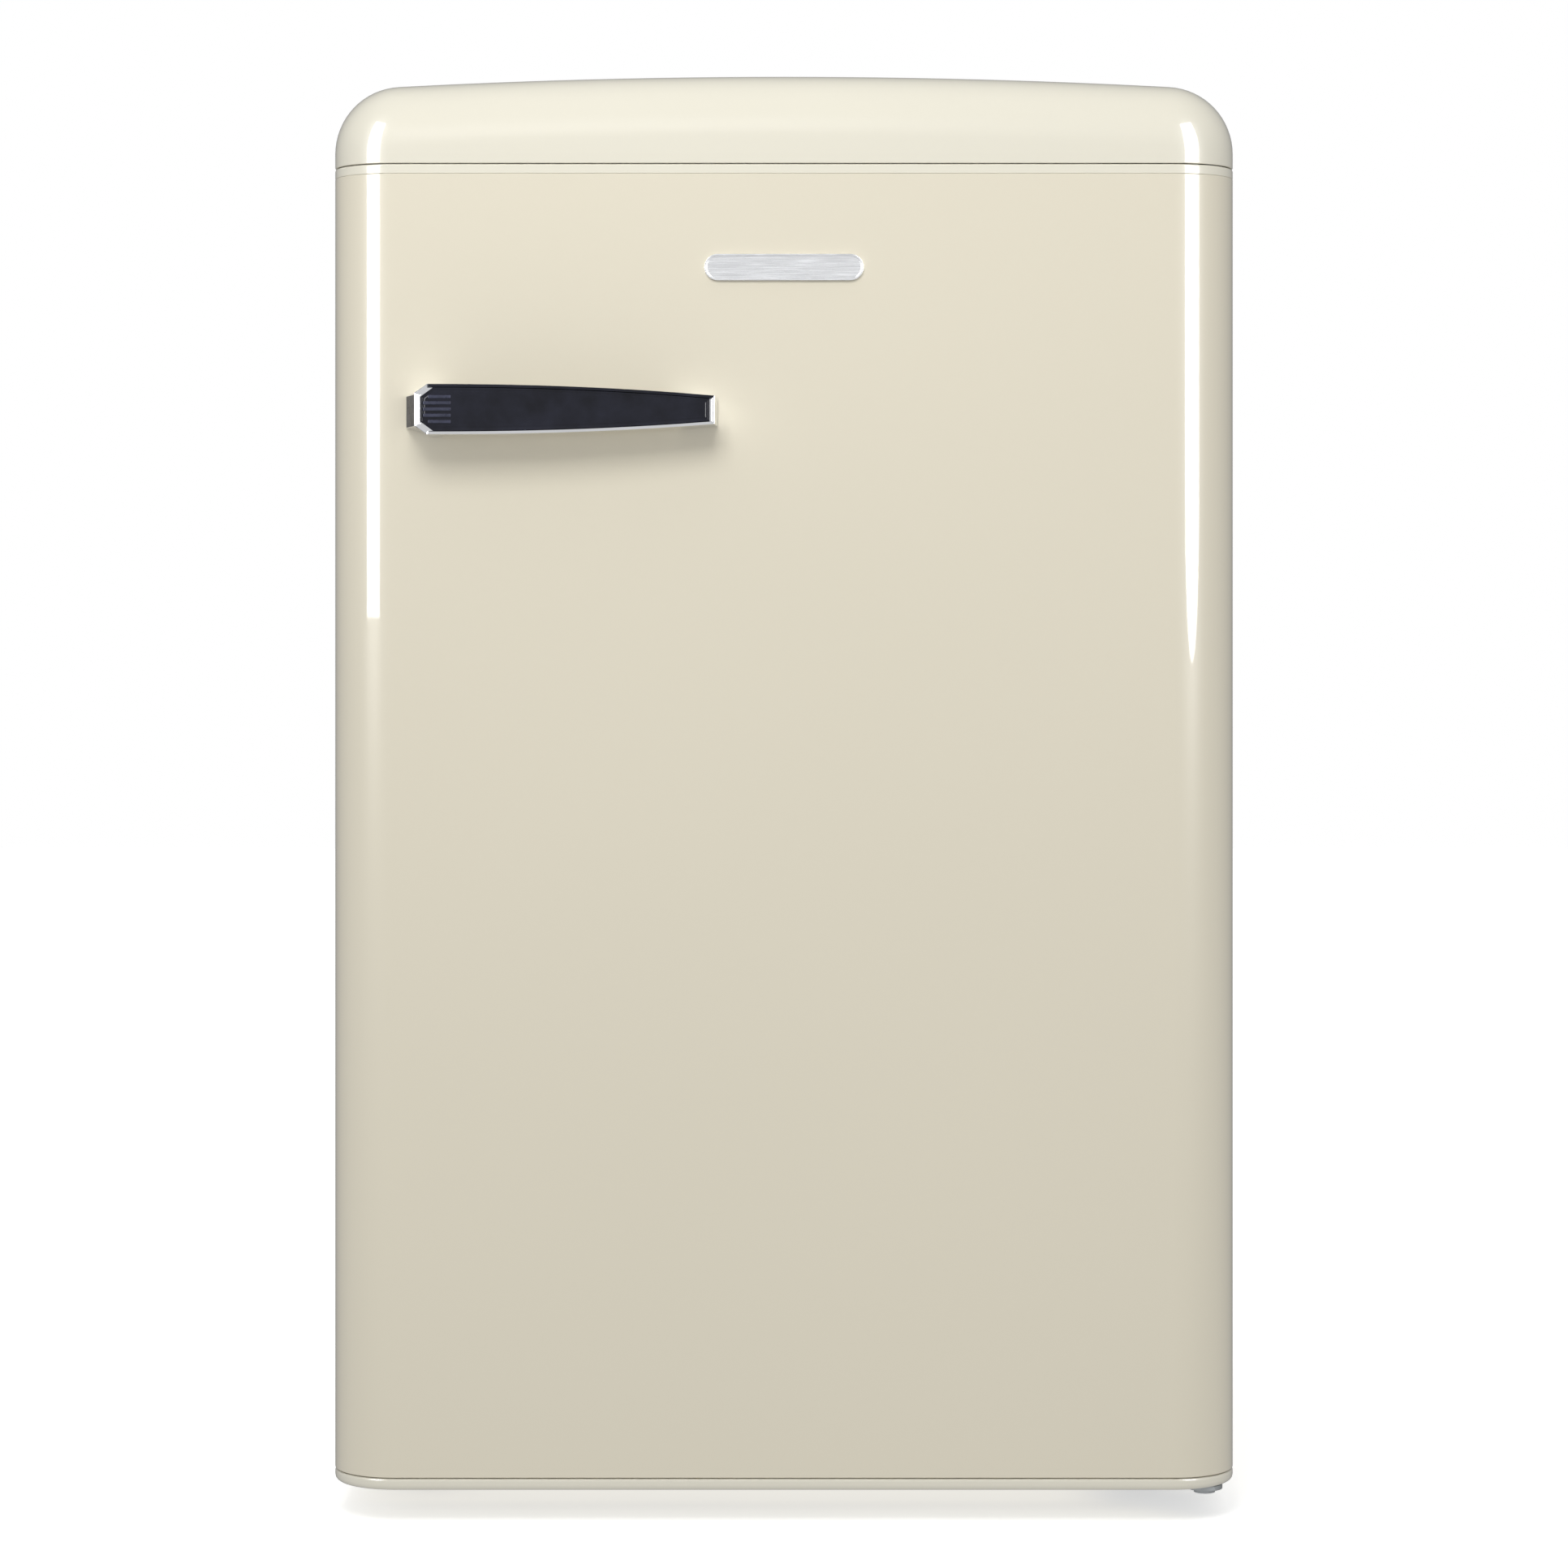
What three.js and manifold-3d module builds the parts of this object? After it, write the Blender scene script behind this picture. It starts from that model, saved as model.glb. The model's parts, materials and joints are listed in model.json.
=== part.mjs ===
// A free-standing under-counter refrigerator, 55 cm wide: a folded steel cabinet around a moulded liner,
// an arched top cap that hides the upper hinge, and one door hung on the right with a bridge handle
// on the left.
// Millimetres, +Z up, front facing -Y, origin on the floor at the centre of the footprint.
import * as THREE from "three";
import { mergeVertices } from "three/addons/utils/BufferGeometryUtils.js";
import Module from "manifold-3d";

const wasm = await Module();
wasm.setup();

// ---------------------------------------------------------------- driving dimensions
// Overall
const WIDTH = 550;
const HEIGHT = 880;
const DEPTH = 615; // handle front to condenser back
const FIT = 0.3; // gap between pieces that touch
const SHEET = 1; // steel sheet

// How the depth and the height are shared out
const HANDLE_REACH = 38; // handle front to door skin
const DOOR_THICKNESS = 52;
const SEAL_GAP = 12; // door back to cabinet front, filled by the gasket
const CONDENSER_SPACE = 25; // cabinet back to condenser back
const FOOT_HEIGHT = 20;
const CAP_HEIGHT = 57; // seam above the door to the crown
const DOOR_SEAM = 1.2; // gap between door top and cap
const DOOR_LIFT = 1.5; // door bottom above cabinet bottom

// Cap and door outline
const EDGE_RADIUS = 40; // vertical front edges of the door, and the roll at the front of the cap
const CORNER_EXTRA = 1.5; // the cap's corner is rounder than its roll by this much
const CROWN_RADIUS = 4460; // slight arch of the cap
const CAP_WALL = 2.5;
const UNDERPLATE = 2;

// Cabinet walls and liner
const SIDE_WALL = 38;
const FLOOR_WALL = 45;
const CEILING_WALL = 38;
const BACK_WALL = 48;
const STEP_WALL = 36;
const LINER_SHEET = 2;
const LINER_FLANGE = 22;
const NICHE_DEPTH = 160; // compressor niche
const NICHE_HEIGHT = 195;
const REAR_FOLD = 12;
const BACK_TAB = 14; // the base pan's upright tab inside the back panel

// Hinge
const PIN_INSET = 18; // pin axis in from the door's side
const PIN_SETBACK = 20.5; // pin axis ahead of the door's back
const PIN_RADIUS = 4;
const PIN_DEPTH = 12; // how far a pin stands in the door
const PIN_HEAD = { radius: 6.5, height: 2 };
const RUNNING = 0.3; // radial clearance of a pin in its bush
const BUSH_WALL = 2.5;
const BOSS_WALL = 3;
const HINGE_PLATE = { thickness: 3, width: 64, length: 46, eye: 11, screw: 2.6 };

// Door
const TOP_LIP = 5;
const BOTTOM_LIP = 7.5;
const DOOR_LINER = 2;
const DOOR_FOLD = 12;
const RIDGE = { inset: 24, width: 26, height: 32, lift: 8 }; // raised frame of the door liner
const TOE_PANEL = { inset: 40, height: 5 }; // raised field of the door liner in front of the crisper
const GASKET = { width: 14, inset: 6 };

// Handle
const HANDLE = {
  sideInset: 47, // outer end in from the door's side
  length: 188,
  drop: 150.5, // middle below the seam
  leftHeight: 30,
  rightHeight: 17,
  taper: 2.2, // power of the curve from the tall end to the low one
  chamferX: 10,
  chamferZ: 6.5,
  foot: 8, // how far the ends slope
  post: 22,
  bar: 11, // thickness of the bar
  fall: 8, // the bar's inner end sits this much nearer the door
  rim: 1.8,
  inlay: 1.2,
};
const BADGE = { width: 96, height: 16, thickness: 2, drop: 63 };

// Shelves and crisper
const GLASS = 4;
const LEVELS = { count: 5, aboveStep: 94, belowCeiling: 100 }; // heights a shelf can be put at
const UPPER_SHELF = 3; // level each shelf is on, counted from 0
const LOWER_SHELF = 1;
const LEDGE = { depth: 7, height: 5, front: 22, back: 6 };
const SHELF_FRONT = 108; // shelf front behind the cabinet front
const SHELF_SIDE_GAP = 2;
const TRIM = { height: 12, depth: 11, wall: 2 };
const CRISPER = {
  depth: 160,
  wall: 2.5,
  sideGap: 8,
  headroom: 9,
  rearGap: 4,
  lip: 9,
  lipHeight: 16,
  frontRise: 5,
};
const FLOOR_GAP = 0.5; // under what slides

// Control housing under the ceiling, with the light switch
const CONTROL = { fromSide: 37, width: 150, front: 27, depth: 148, height: 42, wall: 2 };
const KNOB = { radius: 17, height: 13, fromRight: 36, fromFront: 62, spindle: 4 };
const LENS = { width: 64, length: 96, height: 9, wall: 1.6, fromLeft: 8, fromFront: 26 };
const PLUNGER = { radius: 3.5, fromRight: 50, drop: 12, seat: 12, gap: 0.4 };
const STRIKER = { half: 8, height: 14, reach: 19 };

// Balconies on the door: where the floor is up the door liner's recess, then depth and height
const BALCONY_GAP = 5; // beside a balcony, and under the lowest
const BALCONIES = [
  { name: "upper_balcony", share: 0.78, depth: 78, height: 52 },
  { name: "middle_balcony", share: 0.48, depth: 78, height: 52 },
  { name: "bottle_rack", share: 0, depth: 92, height: 78 },
];
const BALCONY_WALL = 2.2;
const LUG = { width: 8, height: 9, reach: 4, back: 14, fall: 8 };
const EAR = { width: 16, height: 22 };

// Cooling circuit
const EVAPORATOR = { sideInset: 67, thickness: 1.5, aboveStep: 129, belowCeiling: 45 };
const CONDENSER = {
  sideInset: 63,
  aboveNiche: 47,
  belowTop: 33,
  runs: 9,
  tube: 5,
  wires: 6,
  wire: 2,
  bite: 0.6, // wire sunk in the tube at each weld
  tail: 20, // tube turned down at the outlet
};
const RAIL = { thickness: 2, depth: 140, fromBack: 10 };
const COMPRESSOR = { x: 60, halfLength: 92, halfWidth: 66, height: 128, plate: 2.5, plateX: 80, plateY: 56 };
const STUB = { length: 10, spread: 20 };
const DISCHARGE_AT = 0.28; // heights up the pot
const SUCTION_AT = 0.62;
const GROMMET = { radius: 9, height: 12, waist: 6 };
const RELAY = { length: 34, width: 56, height: 62, lift: 22 };
const TRAY = { halfX: 84, halfY: 56, height: 14, wall: 2 };
const PIPE = { radius: 3, capillary: 1.5, bend: 14 };
const DRIER = { radius: 9, length: 84, top: 172, setback: 26 };
const GLAND = { radius: 8, length: 16 };
const BRACKET = { width: 18, height: 22, grip: 3 };

// Feet
const FOOT = {
  radius: 18,
  pad: 8,
  stem: 4,
  clearance: 0.6,
  sideInset: 50,
  frontInset: 60,
  rearInset: 42,
  stemRise: 16,
};

// ---------------------------------------------------------------- places worked out from them
const half = WIDTH / 2;
const handleFront = -DEPTH / 2;
const doorFront = handleFront + HANDLE_REACH;
const doorBack = doorFront + DOOR_THICKNESS;
const cabinetFront = doorBack + SEAL_GAP;
const cabinetBack = DEPTH / 2 - CONDENSER_SPACE;
const cabinetBottom = FOOT_HEIGHT;
const seam = HEIGHT - CAP_HEIGHT;
const cabinetTop = seam - FIT;
const doorTop = seam - DOOR_SEAM;
const doorBottom = cabinetBottom + DOOR_LIFT;
const pinX = half - PIN_INSET;
const pinY = doorBack - PIN_SETBACK;
const nicheFront = cabinetBack - NICHE_DEPTH;
const nicheTop = cabinetBottom + NICHE_HEIGHT;
const backPanelOut = cabinetBack - SHEET - FIT;
const backPanelIn = backPanelOut - SHEET;
const liner = {
  half: half - SIDE_WALL,
  floor: cabinetBottom + FLOOR_WALL,
  ceiling: cabinetTop - CEILING_WALL,
  back: cabinetBack - BACK_WALL,
  stepFront: nicheFront - STEP_WALL,
  stepTop: nicheTop + STEP_WALL,
};
const openingHalf = liner.half + LINER_SHEET + FIT; // edge of the steel frame around the liner
const openingTop = liner.ceiling + LINER_SHEET + FIT;
const openingBottom = liner.floor - LINER_SHEET - FIT;
const doorFace = doorBack - SHEET - FIT; // inner face of the door liner
const ridgeHalf = liner.half - RIDGE.inset;
const ridgeInner = ridgeHalf - RIDGE.width;
const ridgeTop = liner.ceiling - RIDGE.inset;
const ridgeBottom = liner.stepTop + RIDGE.lift;
const shelfFront = cabinetFront + SHELF_FRONT;
const bushOuter = PIN_RADIUS + RUNNING + BUSH_WALL;
const railTop = cabinetBottom + RAIL.thickness;
const compressorY = cabinetBack - RAIL.fromBack - RAIL.depth / 2;
const condenserHalf = half - CONDENSER.sideInset;
const condenserLow = nicheTop + CONDENSER.aboveNiche;
const condenserHigh = cabinetTop - CONDENSER.belowTop;
const condenserPitch = (condenserHigh - condenserLow - CONDENSER.tube) / (CONDENSER.runs - 1);
const condenserEnd = condenserHalf - (condenserPitch + CONDENSER.tube) / 2; // where the straight runs end
const condenserY = DEPTH / 2 - CONDENSER.wire + CONDENSER.bite - CONDENSER.tube; // front face of the tube

// ---------------------------------------------------------------- solids
const CURVE_STEPS = 5; // an arc takes twice as many
const ROUND_SIDES = 24;

function toSolid(geometry) {
  const bare = geometry.index ? geometry.toNonIndexed() : geometry;
  bare.deleteAttribute("normal");
  bare.deleteAttribute("uv");
  const merged = mergeVertices(bare, 1e-4);
  const triVerts = new Uint32Array(merged.index.array);
  return new wasm.Manifold(
    new wasm.Mesh({ numProp: 3, vertProperties: merged.attributes.position.array, triVerts }),
  );
}

function toGeometry(solid) {
  const { vertProperties, triVerts } = solid.getMesh();
  const geometry = new THREE.BufferGeometry();
  geometry.setAttribute("position", new THREE.BufferAttribute(vertProperties, 3));
  geometry.setIndex(new THREE.BufferAttribute(triVerts, 1));
  const flat = geometry.toNonIndexed();
  flat.computeVertexNormals();
  return flat;
}

function box(x0, x1, y0, y1, z0, z1) {
  const geometry = new THREE.BoxGeometry(x1 - x0, y1 - y0, z1 - z0);
  return toSolid(geometry.translate((x0 + x1) / 2, (y0 + y1) / 2, (z0 + z1) / 2));
}

function extrusion(shape, depth, steps = CURVE_STEPS) {
  return new THREE.ExtrudeGeometry(shape, { depth, bevelEnabled: false, curveSegments: steps });
}

// A plan-view shape, x and y, raised from z0 to z1.
const raise = (shape, z0, z1) => toSolid(extrusion(shape, z1 - z0).translate(0, 0, z0));

// A front-view shape, x and z, run from y0 to y1.
const runBack = (shape, y0, y1, steps) =>
  toSolid(extrusion(shape, y1 - y0, steps).rotateX(Math.PI / 2).translate(0, y1, 0));

// A side-view shape, y and z, run from x0 to x1.
function runAcross(shape, x0, x1) {
  const turn = new THREE.Matrix4().makeBasis(
    new THREE.Vector3(0, 1, 0),
    new THREE.Vector3(0, 0, 1),
    new THREE.Vector3(1, 0, 0),
  );
  return toSolid(extrusion(shape, x1 - x0).applyMatrix4(turn).translate(x0, 0, 0));
}

const polygon = (points) => new THREE.Shape(points.map(([a, b]) => new THREE.Vector2(a, b)));

// A turned piece about Z. The profile is [radius, z] from bottom to top.
function turned(profile, sides = ROUND_SIDES) {
  const points = profile.map(([r, z]) => new THREE.Vector2(r, z));
  return toSolid(new THREE.LatheGeometry(points, sides).rotateX(Math.PI / 2));
}

function cylinder(radius, x, y, z0, z1, sides = ROUND_SIDES) {
  const geometry = new THREE.CylinderGeometry(radius, radius, z1 - z0, sides).rotateX(Math.PI / 2);
  return toSolid(geometry.translate(x, y, (z0 + z1) / 2));
}

// A sheet of even thickness folded along a side-view path of [y, z] points, on the left of its direction.
function foldedSheet(path, thickness, x0, x1) {
  const offset = path.map(([y, z], i) => {
    const shift = new THREE.Vector2();
    for (const k of [i - 1, i]) {
      if (k < 0 || k + 1 >= path.length) continue;
      const dy = path[k + 1][0] - path[k][0];
      const dz = path[k + 1][1] - path[k][1];
      const length = Math.hypot(dy, dz);
      shift.add(new THREE.Vector2(-dz / length, dy / length));
    }
    const scale = thickness / (i > 0 && i + 1 < path.length ? shift.lengthSq() / 2 : 1);
    return [y + shift.x * scale, z + shift.y * scale];
  });
  return runAcross(polygon([...path, ...offset.reverse()]), x0, x1);
}

// Straight runs between corner points, each corner rounded by a bend.
class BentPath extends THREE.Curve {
  constructor(corners, bend) {
    super();
    const at = corners.map((corner) => new THREE.Vector3(...corner));
    this.stations = [at[0]];
    for (let i = 1; i + 1 < at.length; i++) {
      const from = this.toward(at[i], at[i - 1], bend);
      const to = this.toward(at[i], at[i + 1], bend);
      const arc = new THREE.QuadraticBezierCurve3(from, at[i], to);
      this.stations.push(...arc.getPoints(3));
    }
    this.stations.push(at.at(-1));
  }
  toward(corner, other, bend) {
    const step = other.clone().sub(corner);
    return corner.clone().add(step.setLength(Math.min(bend, step.length() * 0.45)));
  }
  getPointAt(u) {
    const place = u * (this.stations.length - 1);
    const i = Math.min(Math.floor(place), this.stations.length - 2);
    return this.stations[i].clone().lerp(this.stations[i + 1], place - i);
  }
  getTangentAt(u) {
    const last = this.stations.length - 1;
    const i = Math.round(u * last);
    const after = this.stations[Math.min(i + 1, last)];
    return after.clone().sub(this.stations[Math.max(i - 1, 0)]).normalize();
  }
}

function pipe(corners, radius) {
  const path = new BentPath(corners, PIPE.bend);
  const section = new THREE.Shape();
  section.absarc(0, 0, radius, 0, 2 * Math.PI);
  const steps = path.stations.length - 1;
  return toSolid(
    new THREE.ExtrudeGeometry(section, { steps, extrudePath: path, curveSegments: 4, bevelEnabled: false }),
  );
}

// ---------------------------------------------------------------- finishes
const finish = (color, roughness, metalness = 0) =>
  new THREE.MeshStandardMaterial({ color, roughness, metalness });
const CREAM = finish(0xe5deca, 0.22);
const WHITE = finish(0xf1f2f0, 0.4);
const FOAM = finish(0xe7d9a2, 0.95);
const ZINC = finish(0x9fa3a6, 0.45, 0.9);
const BLACK_STEEL = finish(0x17181a, 0.45, 0.3);
const BLACK_PLASTIC = finish(0x1c1d1f, 0.6);
const CHROME = finish(0xd9dbde, 0.08, 1);
const DARK_CHROME = finish(0x14151b, 0.12, 0.9);
const COPPER = finish(0xb4693f, 0.35, 0.9);
const ALUMINIUM = finish(0xc6c9cc, 0.35, 0.9);
const CLEAR = finish(0xdfeaf0, 0.1);
const SHELF_GLASS = finish(0xcfe6dd, 0.05);
const GREY_RUBBER = finish(0xc9c7c0, 0.8);
const BLACK_RUBBER = finish(0x222324, 0.85);

const root = new THREE.Group();
const cabinet = new THREE.Group();
const door = new THREE.Group();
root.add(cabinet, door);

function place(group, name, solid, material, position = [0, 0, 0]) {
  const mesh = new THREE.Mesh(toGeometry(solid), material);
  mesh.name = name;
  mesh.position.set(...position);
  group.add(mesh);
}

// ---------------------------------------------------------------- cabinet sheet metal
// Side panel, plan view: outer wall, frame fold at the front and a short fold at the back.
function sidePanel(side) {
  const s = side === "left" ? -1 : 1;
  const outline = polygon([
    [s * half, cabinetFront],
    [s * half, cabinetBack],
    [s * (half - REAR_FOLD), cabinetBack],
    [s * (half - REAR_FOLD), cabinetBack - SHEET],
    [s * (half - SHEET), cabinetBack - SHEET],
    [s * (half - SHEET), cabinetFront + SHEET],
    [s * openingHalf, cabinetFront + SHEET],
    [s * openingHalf, cabinetFront],
  ]);
  return raise(outline, cabinetBottom, cabinetTop);
}

const betweenSides = half - SHEET - FIT;
const frameHalf = openingHalf - FIT;
const behindFrame = cabinetFront + SHEET + FIT;

function topPanel() {
  const low = cabinetTop - SHEET;
  const sheet = box(-betweenSides, betweenSides, behindFrame, backPanelIn - FIT, low, cabinetTop);
  const front = box(-frameHalf, frameHalf, cabinetFront, behindFrame + SHEET, low, cabinetTop);
  const frame = box(-frameHalf, frameHalf, cabinetFront, cabinetFront + SHEET, openingTop, cabinetTop);
  return sheet.add(front).add(frame);
}

// Base pan: frame fold, floor, then up and over the compressor niche to the back panel.
function basePan() {
  const floor = foldedSheet(
    [
      [behindFrame, cabinetBottom],
      [nicheFront, cabinetBottom],
      [nicheFront, nicheTop],
      [backPanelIn - FIT, nicheTop],
      [backPanelIn - FIT, nicheTop + BACK_TAB],
    ],
    SHEET,
    -betweenSides,
    betweenSides,
  );
  const lipBack = behindFrame + SHEET;
  const lip = box(-frameHalf, frameHalf, cabinetFront, lipBack, cabinetBottom, cabinetBottom + SHEET);
  const frame = box(-frameHalf, frameHalf, cabinetFront, cabinetFront + SHEET, cabinetBottom, openingBottom);
  let pan = floor.add(lip).add(frame);
  for (const x of footXs) pan = pan.subtract(footHole(x, frontFootY));
  return pan;
}

function backPanel() {
  return box(-betweenSides, betweenSides, backPanelIn, backPanelOut, nicheTop + 2 * FIT, cabinetTop);
}

// ---------------------------------------------------------------- liner and insulation
// The room inside the liner, grown outwards on every side but the front.
function linerRoom(grow, front) {
  const wide = liner.half + grow;
  const low = liner.floor - grow;
  const step = liner.stepTop - grow;
  const high = liner.ceiling + grow;
  const above = box(-wide, wide, front, liner.back + grow, step, high);
  return above.add(box(-wide, wide, front, liner.stepFront + grow, low, step + 1));
}

// A pair of ledges, left and right, that a glass lies on at height z.
function ledgePair(z, front) {
  const pair = [-1, 1].map((s) => {
    const edge = s * (liner.half - LEDGE.depth);
    const wall = s * (liner.half + LINER_SHEET / 2);
    const [x0, x1] = [Math.min(edge, wall), Math.max(edge, wall)];
    return box(x0, x1, front + LEDGE.front, liner.back - LEDGE.back, z - LEDGE.height, z - FIT);
  });
  return pair[0].add(pair[1]);
}

function levelZ(i) {
  const lowest = liner.stepTop + LEVELS.aboveStep;
  const highest = liner.ceiling - LEVELS.belowCeiling;
  return lowest + ((highest - lowest) * i) / (LEVELS.count - 1);
}

function innerLiner() {
  const flangeFront = behindFrame;
  const wide = liner.half + LINER_SHEET + LINER_FLANGE;
  const flange = box(
    -wide,
    wide,
    flangeFront,
    flangeFront + LINER_SHEET,
    liner.floor - LINER_SHEET - LINER_FLANGE,
    liner.ceiling + LINER_SHEET + LINER_FLANGE,
  );
  let shell = linerRoom(LINER_SHEET, cabinetFront).add(flange);
  shell = shell.subtract(linerRoom(0, cabinetFront - 1));
  for (let i = 0; i < LEVELS.count; i++) shell = shell.add(ledgePair(levelZ(i), shelfFront));
  return shell.add(ledgePair(crisperCoverZ, crisperFront));
}

function cabinetInsulation() {
  const front = behindFrame + LINER_SHEET + FIT;
  const low = cabinetBottom + SHEET + FIT;
  const high = cabinetTop - SHEET - FIT;
  let foam = box(-betweenSides, betweenSides, front, backPanelIn - FIT, low, high);
  foam = foam.subtract(linerRoom(LINER_SHEET + FIT, front - 1));
  const overNiche = nicheTop + SHEET + FIT;
  foam = foam.subtract(box(-half, half, nicheFront - SHEET - FIT, cabinetBack, 0, overNiche));
  const tab = backPanelIn - 2 * FIT - SHEET;
  foam = foam.subtract(box(-half, half, tab, cabinetBack, 0, nicheTop + BACK_TAB + FIT));
  foam = foam.subtract(evaporatorPlate(FIT));
  for (const x of footXs) foam = foam.subtract(footPocket(x, frontFootY));
  return foam;
}

// Cold plate foamed in behind the liner's back wall, grown for its pocket in the foam.
function evaporatorPlate(grow = 0) {
  const wide = liner.half - EVAPORATOR.sideInset + grow;
  const front = liner.back + LINER_SHEET + FIT;
  const low = liner.stepTop + EVAPORATOR.aboveStep - grow;
  const high = liner.ceiling - EVAPORATOR.belowCeiling + grow;
  return box(-wide, wide, front - grow, front + EVAPORATOR.thickness + grow, low, high);
}

// ---------------------------------------------------------------- feet
const footXs = [-(half - FOOT.sideInset), half - FOOT.sideInset];
const frontFootY = cabinetFront + FOOT.frontInset;
const rearFootY = cabinetBack - FOOT.rearInset;
const footHole = (x, y) => cylinder(FOOT.stem + FOOT.clearance, x, y, 0, nicheTop / 2);
const footPocket = (x, y) =>
  cylinder(FOOT.stem + 2 * FOOT.clearance, x, y, 0, FOOT_HEIGHT + FOOT.stemRise + 2);

// Levelling foot: a disc with a chamfered sole and a threaded stem.
function foot() {
  const { radius, pad, stem, stemRise } = FOOT;
  return turned([
    [0, 0],
    [radius - 1.5, 0],
    [radius, 1.5],
    [radius, pad - 3],
    [radius - 5, pad],
    [stem + 3, pad],
    [stem + 3, FOOT_HEIGHT - FIT],
    [stem, FOOT_HEIGHT - FIT],
    [stem, FOOT_HEIGHT + stemRise],
    [0, FOOT_HEIGHT + stemRise],
  ]);
}

// ---------------------------------------------------------------- top cap
// Front view of the cap: upright sides, round corners and the arched crown, all inset by a wall.
function capOutline(inset) {
  const corner = EDGE_RADIUS + CORNER_EXTRA;
  const centreX = half - corner;
  const crownZ = HEIGHT - CROWN_RADIUS;
  const centreZ = crownZ + Math.sqrt((CROWN_RADIUS - corner) ** 2 - centreX ** 2);
  const turn = Math.atan2(centreZ - crownZ, centreX);
  const below = seam - 2 * EDGE_RADIUS;
  const shape = new THREE.Shape();
  shape.moveTo(half - inset, below);
  shape.lineTo(half - inset, centreZ);
  shape.absarc(centreX, centreZ, corner - inset, 0, turn);
  shape.absarc(0, crownZ, CROWN_RADIUS - inset, turn, Math.PI - turn);
  shape.absarc(-centreX, centreZ, corner - inset, Math.PI - turn, Math.PI);
  shape.lineTo(-half + inset, below);
  return shape;
}

// The outline run back from the front with a quarter-round roll, then trimmed level at the bottom.
function capBody(inset, back, bottom) {
  const roll = EDGE_RADIUS - inset;
  const front = doorFront + inset;
  const beyond = roll + 10;
  const geometry = new THREE.ExtrudeGeometry(capOutline(inset), {
    depth: back - front - roll + beyond,
    bevelThickness: roll,
    bevelSize: roll,
    bevelOffset: -roll,
    bevelSegments: 7,
    curveSegments: 4,
  });
  const body = toSolid(geometry.rotateX(Math.PI / 2).translate(0, back + beyond, 0));
  return body.intersect(box(-WIDTH, WIDTH, front - 1, back, bottom, HEIGHT + 1));
}

function topCap() {
  return capBody(0, cabinetBack, seam).subtract(capBody(CAP_WALL, cabinetBack - CAP_WALL, seam - 1));
}

// Plan view of the door: round front edges, flat back.
function doorOutline(inset, back = doorBack) {
  const radius = EDGE_RADIUS - inset;
  const shape = new THREE.Shape();
  const centreX = half - EDGE_RADIUS;
  const centreY = doorFront + EDGE_RADIUS;
  shape.moveTo(-half + inset, back);
  shape.lineTo(-half + inset, centreY);
  shape.absarc(-centreX, centreY, radius, Math.PI, 1.5 * Math.PI);
  shape.absarc(centreX, centreY, radius, 1.5 * Math.PI, 2 * Math.PI);
  shape.lineTo(half - inset, back);
  return shape;
}

// Closes the visor under the cap, and stops short of the upper hinge.
function capUnderplate() {
  const inside = capBody(CAP_WALL + FIT, cabinetFront - FIT, seam);
  return inside.intersect(box(-half, pinX - HINGE_PLATE.width - FIT, -DEPTH, 0, seam, seam + UNDERPLATE));
}

// ---------------------------------------------------------------- hinges
// Plan view of a hinge plate: a round eye around the pin, widening to the screwed end.
function hingePlate(z0) {
  const { thickness, width, length, eye, screw } = HINGE_PLATE;
  const shape = new THREE.Shape();
  const back = cabinetFront + length;
  shape.moveTo(pinX + eye, pinY);
  shape.lineTo(pinX + eye, back);
  shape.lineTo(pinX - width, back);
  shape.lineTo(pinX - width, cabinetFront + eye);
  shape.lineTo(pinX - eye, pinY);
  shape.absarc(pinX, pinY, eye, Math.PI, 2 * Math.PI);
  const holes = [
    [PIN_RADIUS + FIT, pinX, pinY],
    [screw, pinX - eye, back - eye],
    [screw, pinX - width + eye, back - eye],
  ];
  let plate = raise(shape, z0, z0 + thickness);
  for (const hole of holes) plate = plate.subtract(cylinder(...hole, z0 - 1, z0 + thickness + 1));
  return plate;
}

const upperPlateZ = cabinetTop + FIT;
const lowerPlateZ = cabinetBottom - FIT - HINGE_PLATE.thickness;

// A pin with a head, its shank pointing up; the upper one is turned over.
function hingePin(length) {
  const { radius, height } = PIN_HEAD;
  return turned([
    [0, 0],
    [radius, 0],
    [radius, height],
    [PIN_RADIUS, height],
    [PIN_RADIUS, height + length - 1],
    [PIN_RADIUS - 1, height + length],
    [0, height + length],
  ]);
}

function hingeBush(z0, z1) {
  const inner = PIN_RADIUS + RUNNING;
  return cylinder(bushOuter, pinX, pinY, z0, z1).subtract(cylinder(inner, pinX, pinY, z0 - 1, z1 + 1));
}

// ---------------------------------------------------------------- door
const skinBottom = doorBottom + BOTTOM_LIP + FIT;
const skinTop = doorTop - TOP_LIP - FIT;
const bushLength = PIN_DEPTH + 3;

function doorSkin() {
  let skin = raise(doorOutline(0), skinBottom, skinTop);
  skin = skin.subtract(raise(doorOutline(SHEET, doorBack + 1), skinBottom - 1, skinTop + 1));
  for (const s of [-1, 1]) {
    const fold = [s * half, s * (half - DOOR_FOLD)].sort((a, b) => a - b);
    skin = skin.add(box(...fold, doorBack - SHEET, doorBack, skinBottom, skinTop));
  }
  return skin;
}

// End cap with a boss that holds the hinge bush; the boss reaches into the foam.
function doorEndCap(z0, z1, boss0, boss1) {
  const plate = raise(doorOutline(0), z0, z1);
  const boss = cylinder(bushOuter + FIT + BOSS_WALL, pinX, pinY, boss0, boss1);
  const bore = cylinder(bushOuter + FIT, pinX, pinY, z0 - bushLength, z1 + bushLength);
  return plate.add(boss).subtract(bore);
}

const topBoss = doorTop - bushLength;
const bottomBoss = doorBottom + bushLength;
const plateFront = doorFace - DOOR_LINER;

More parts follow.
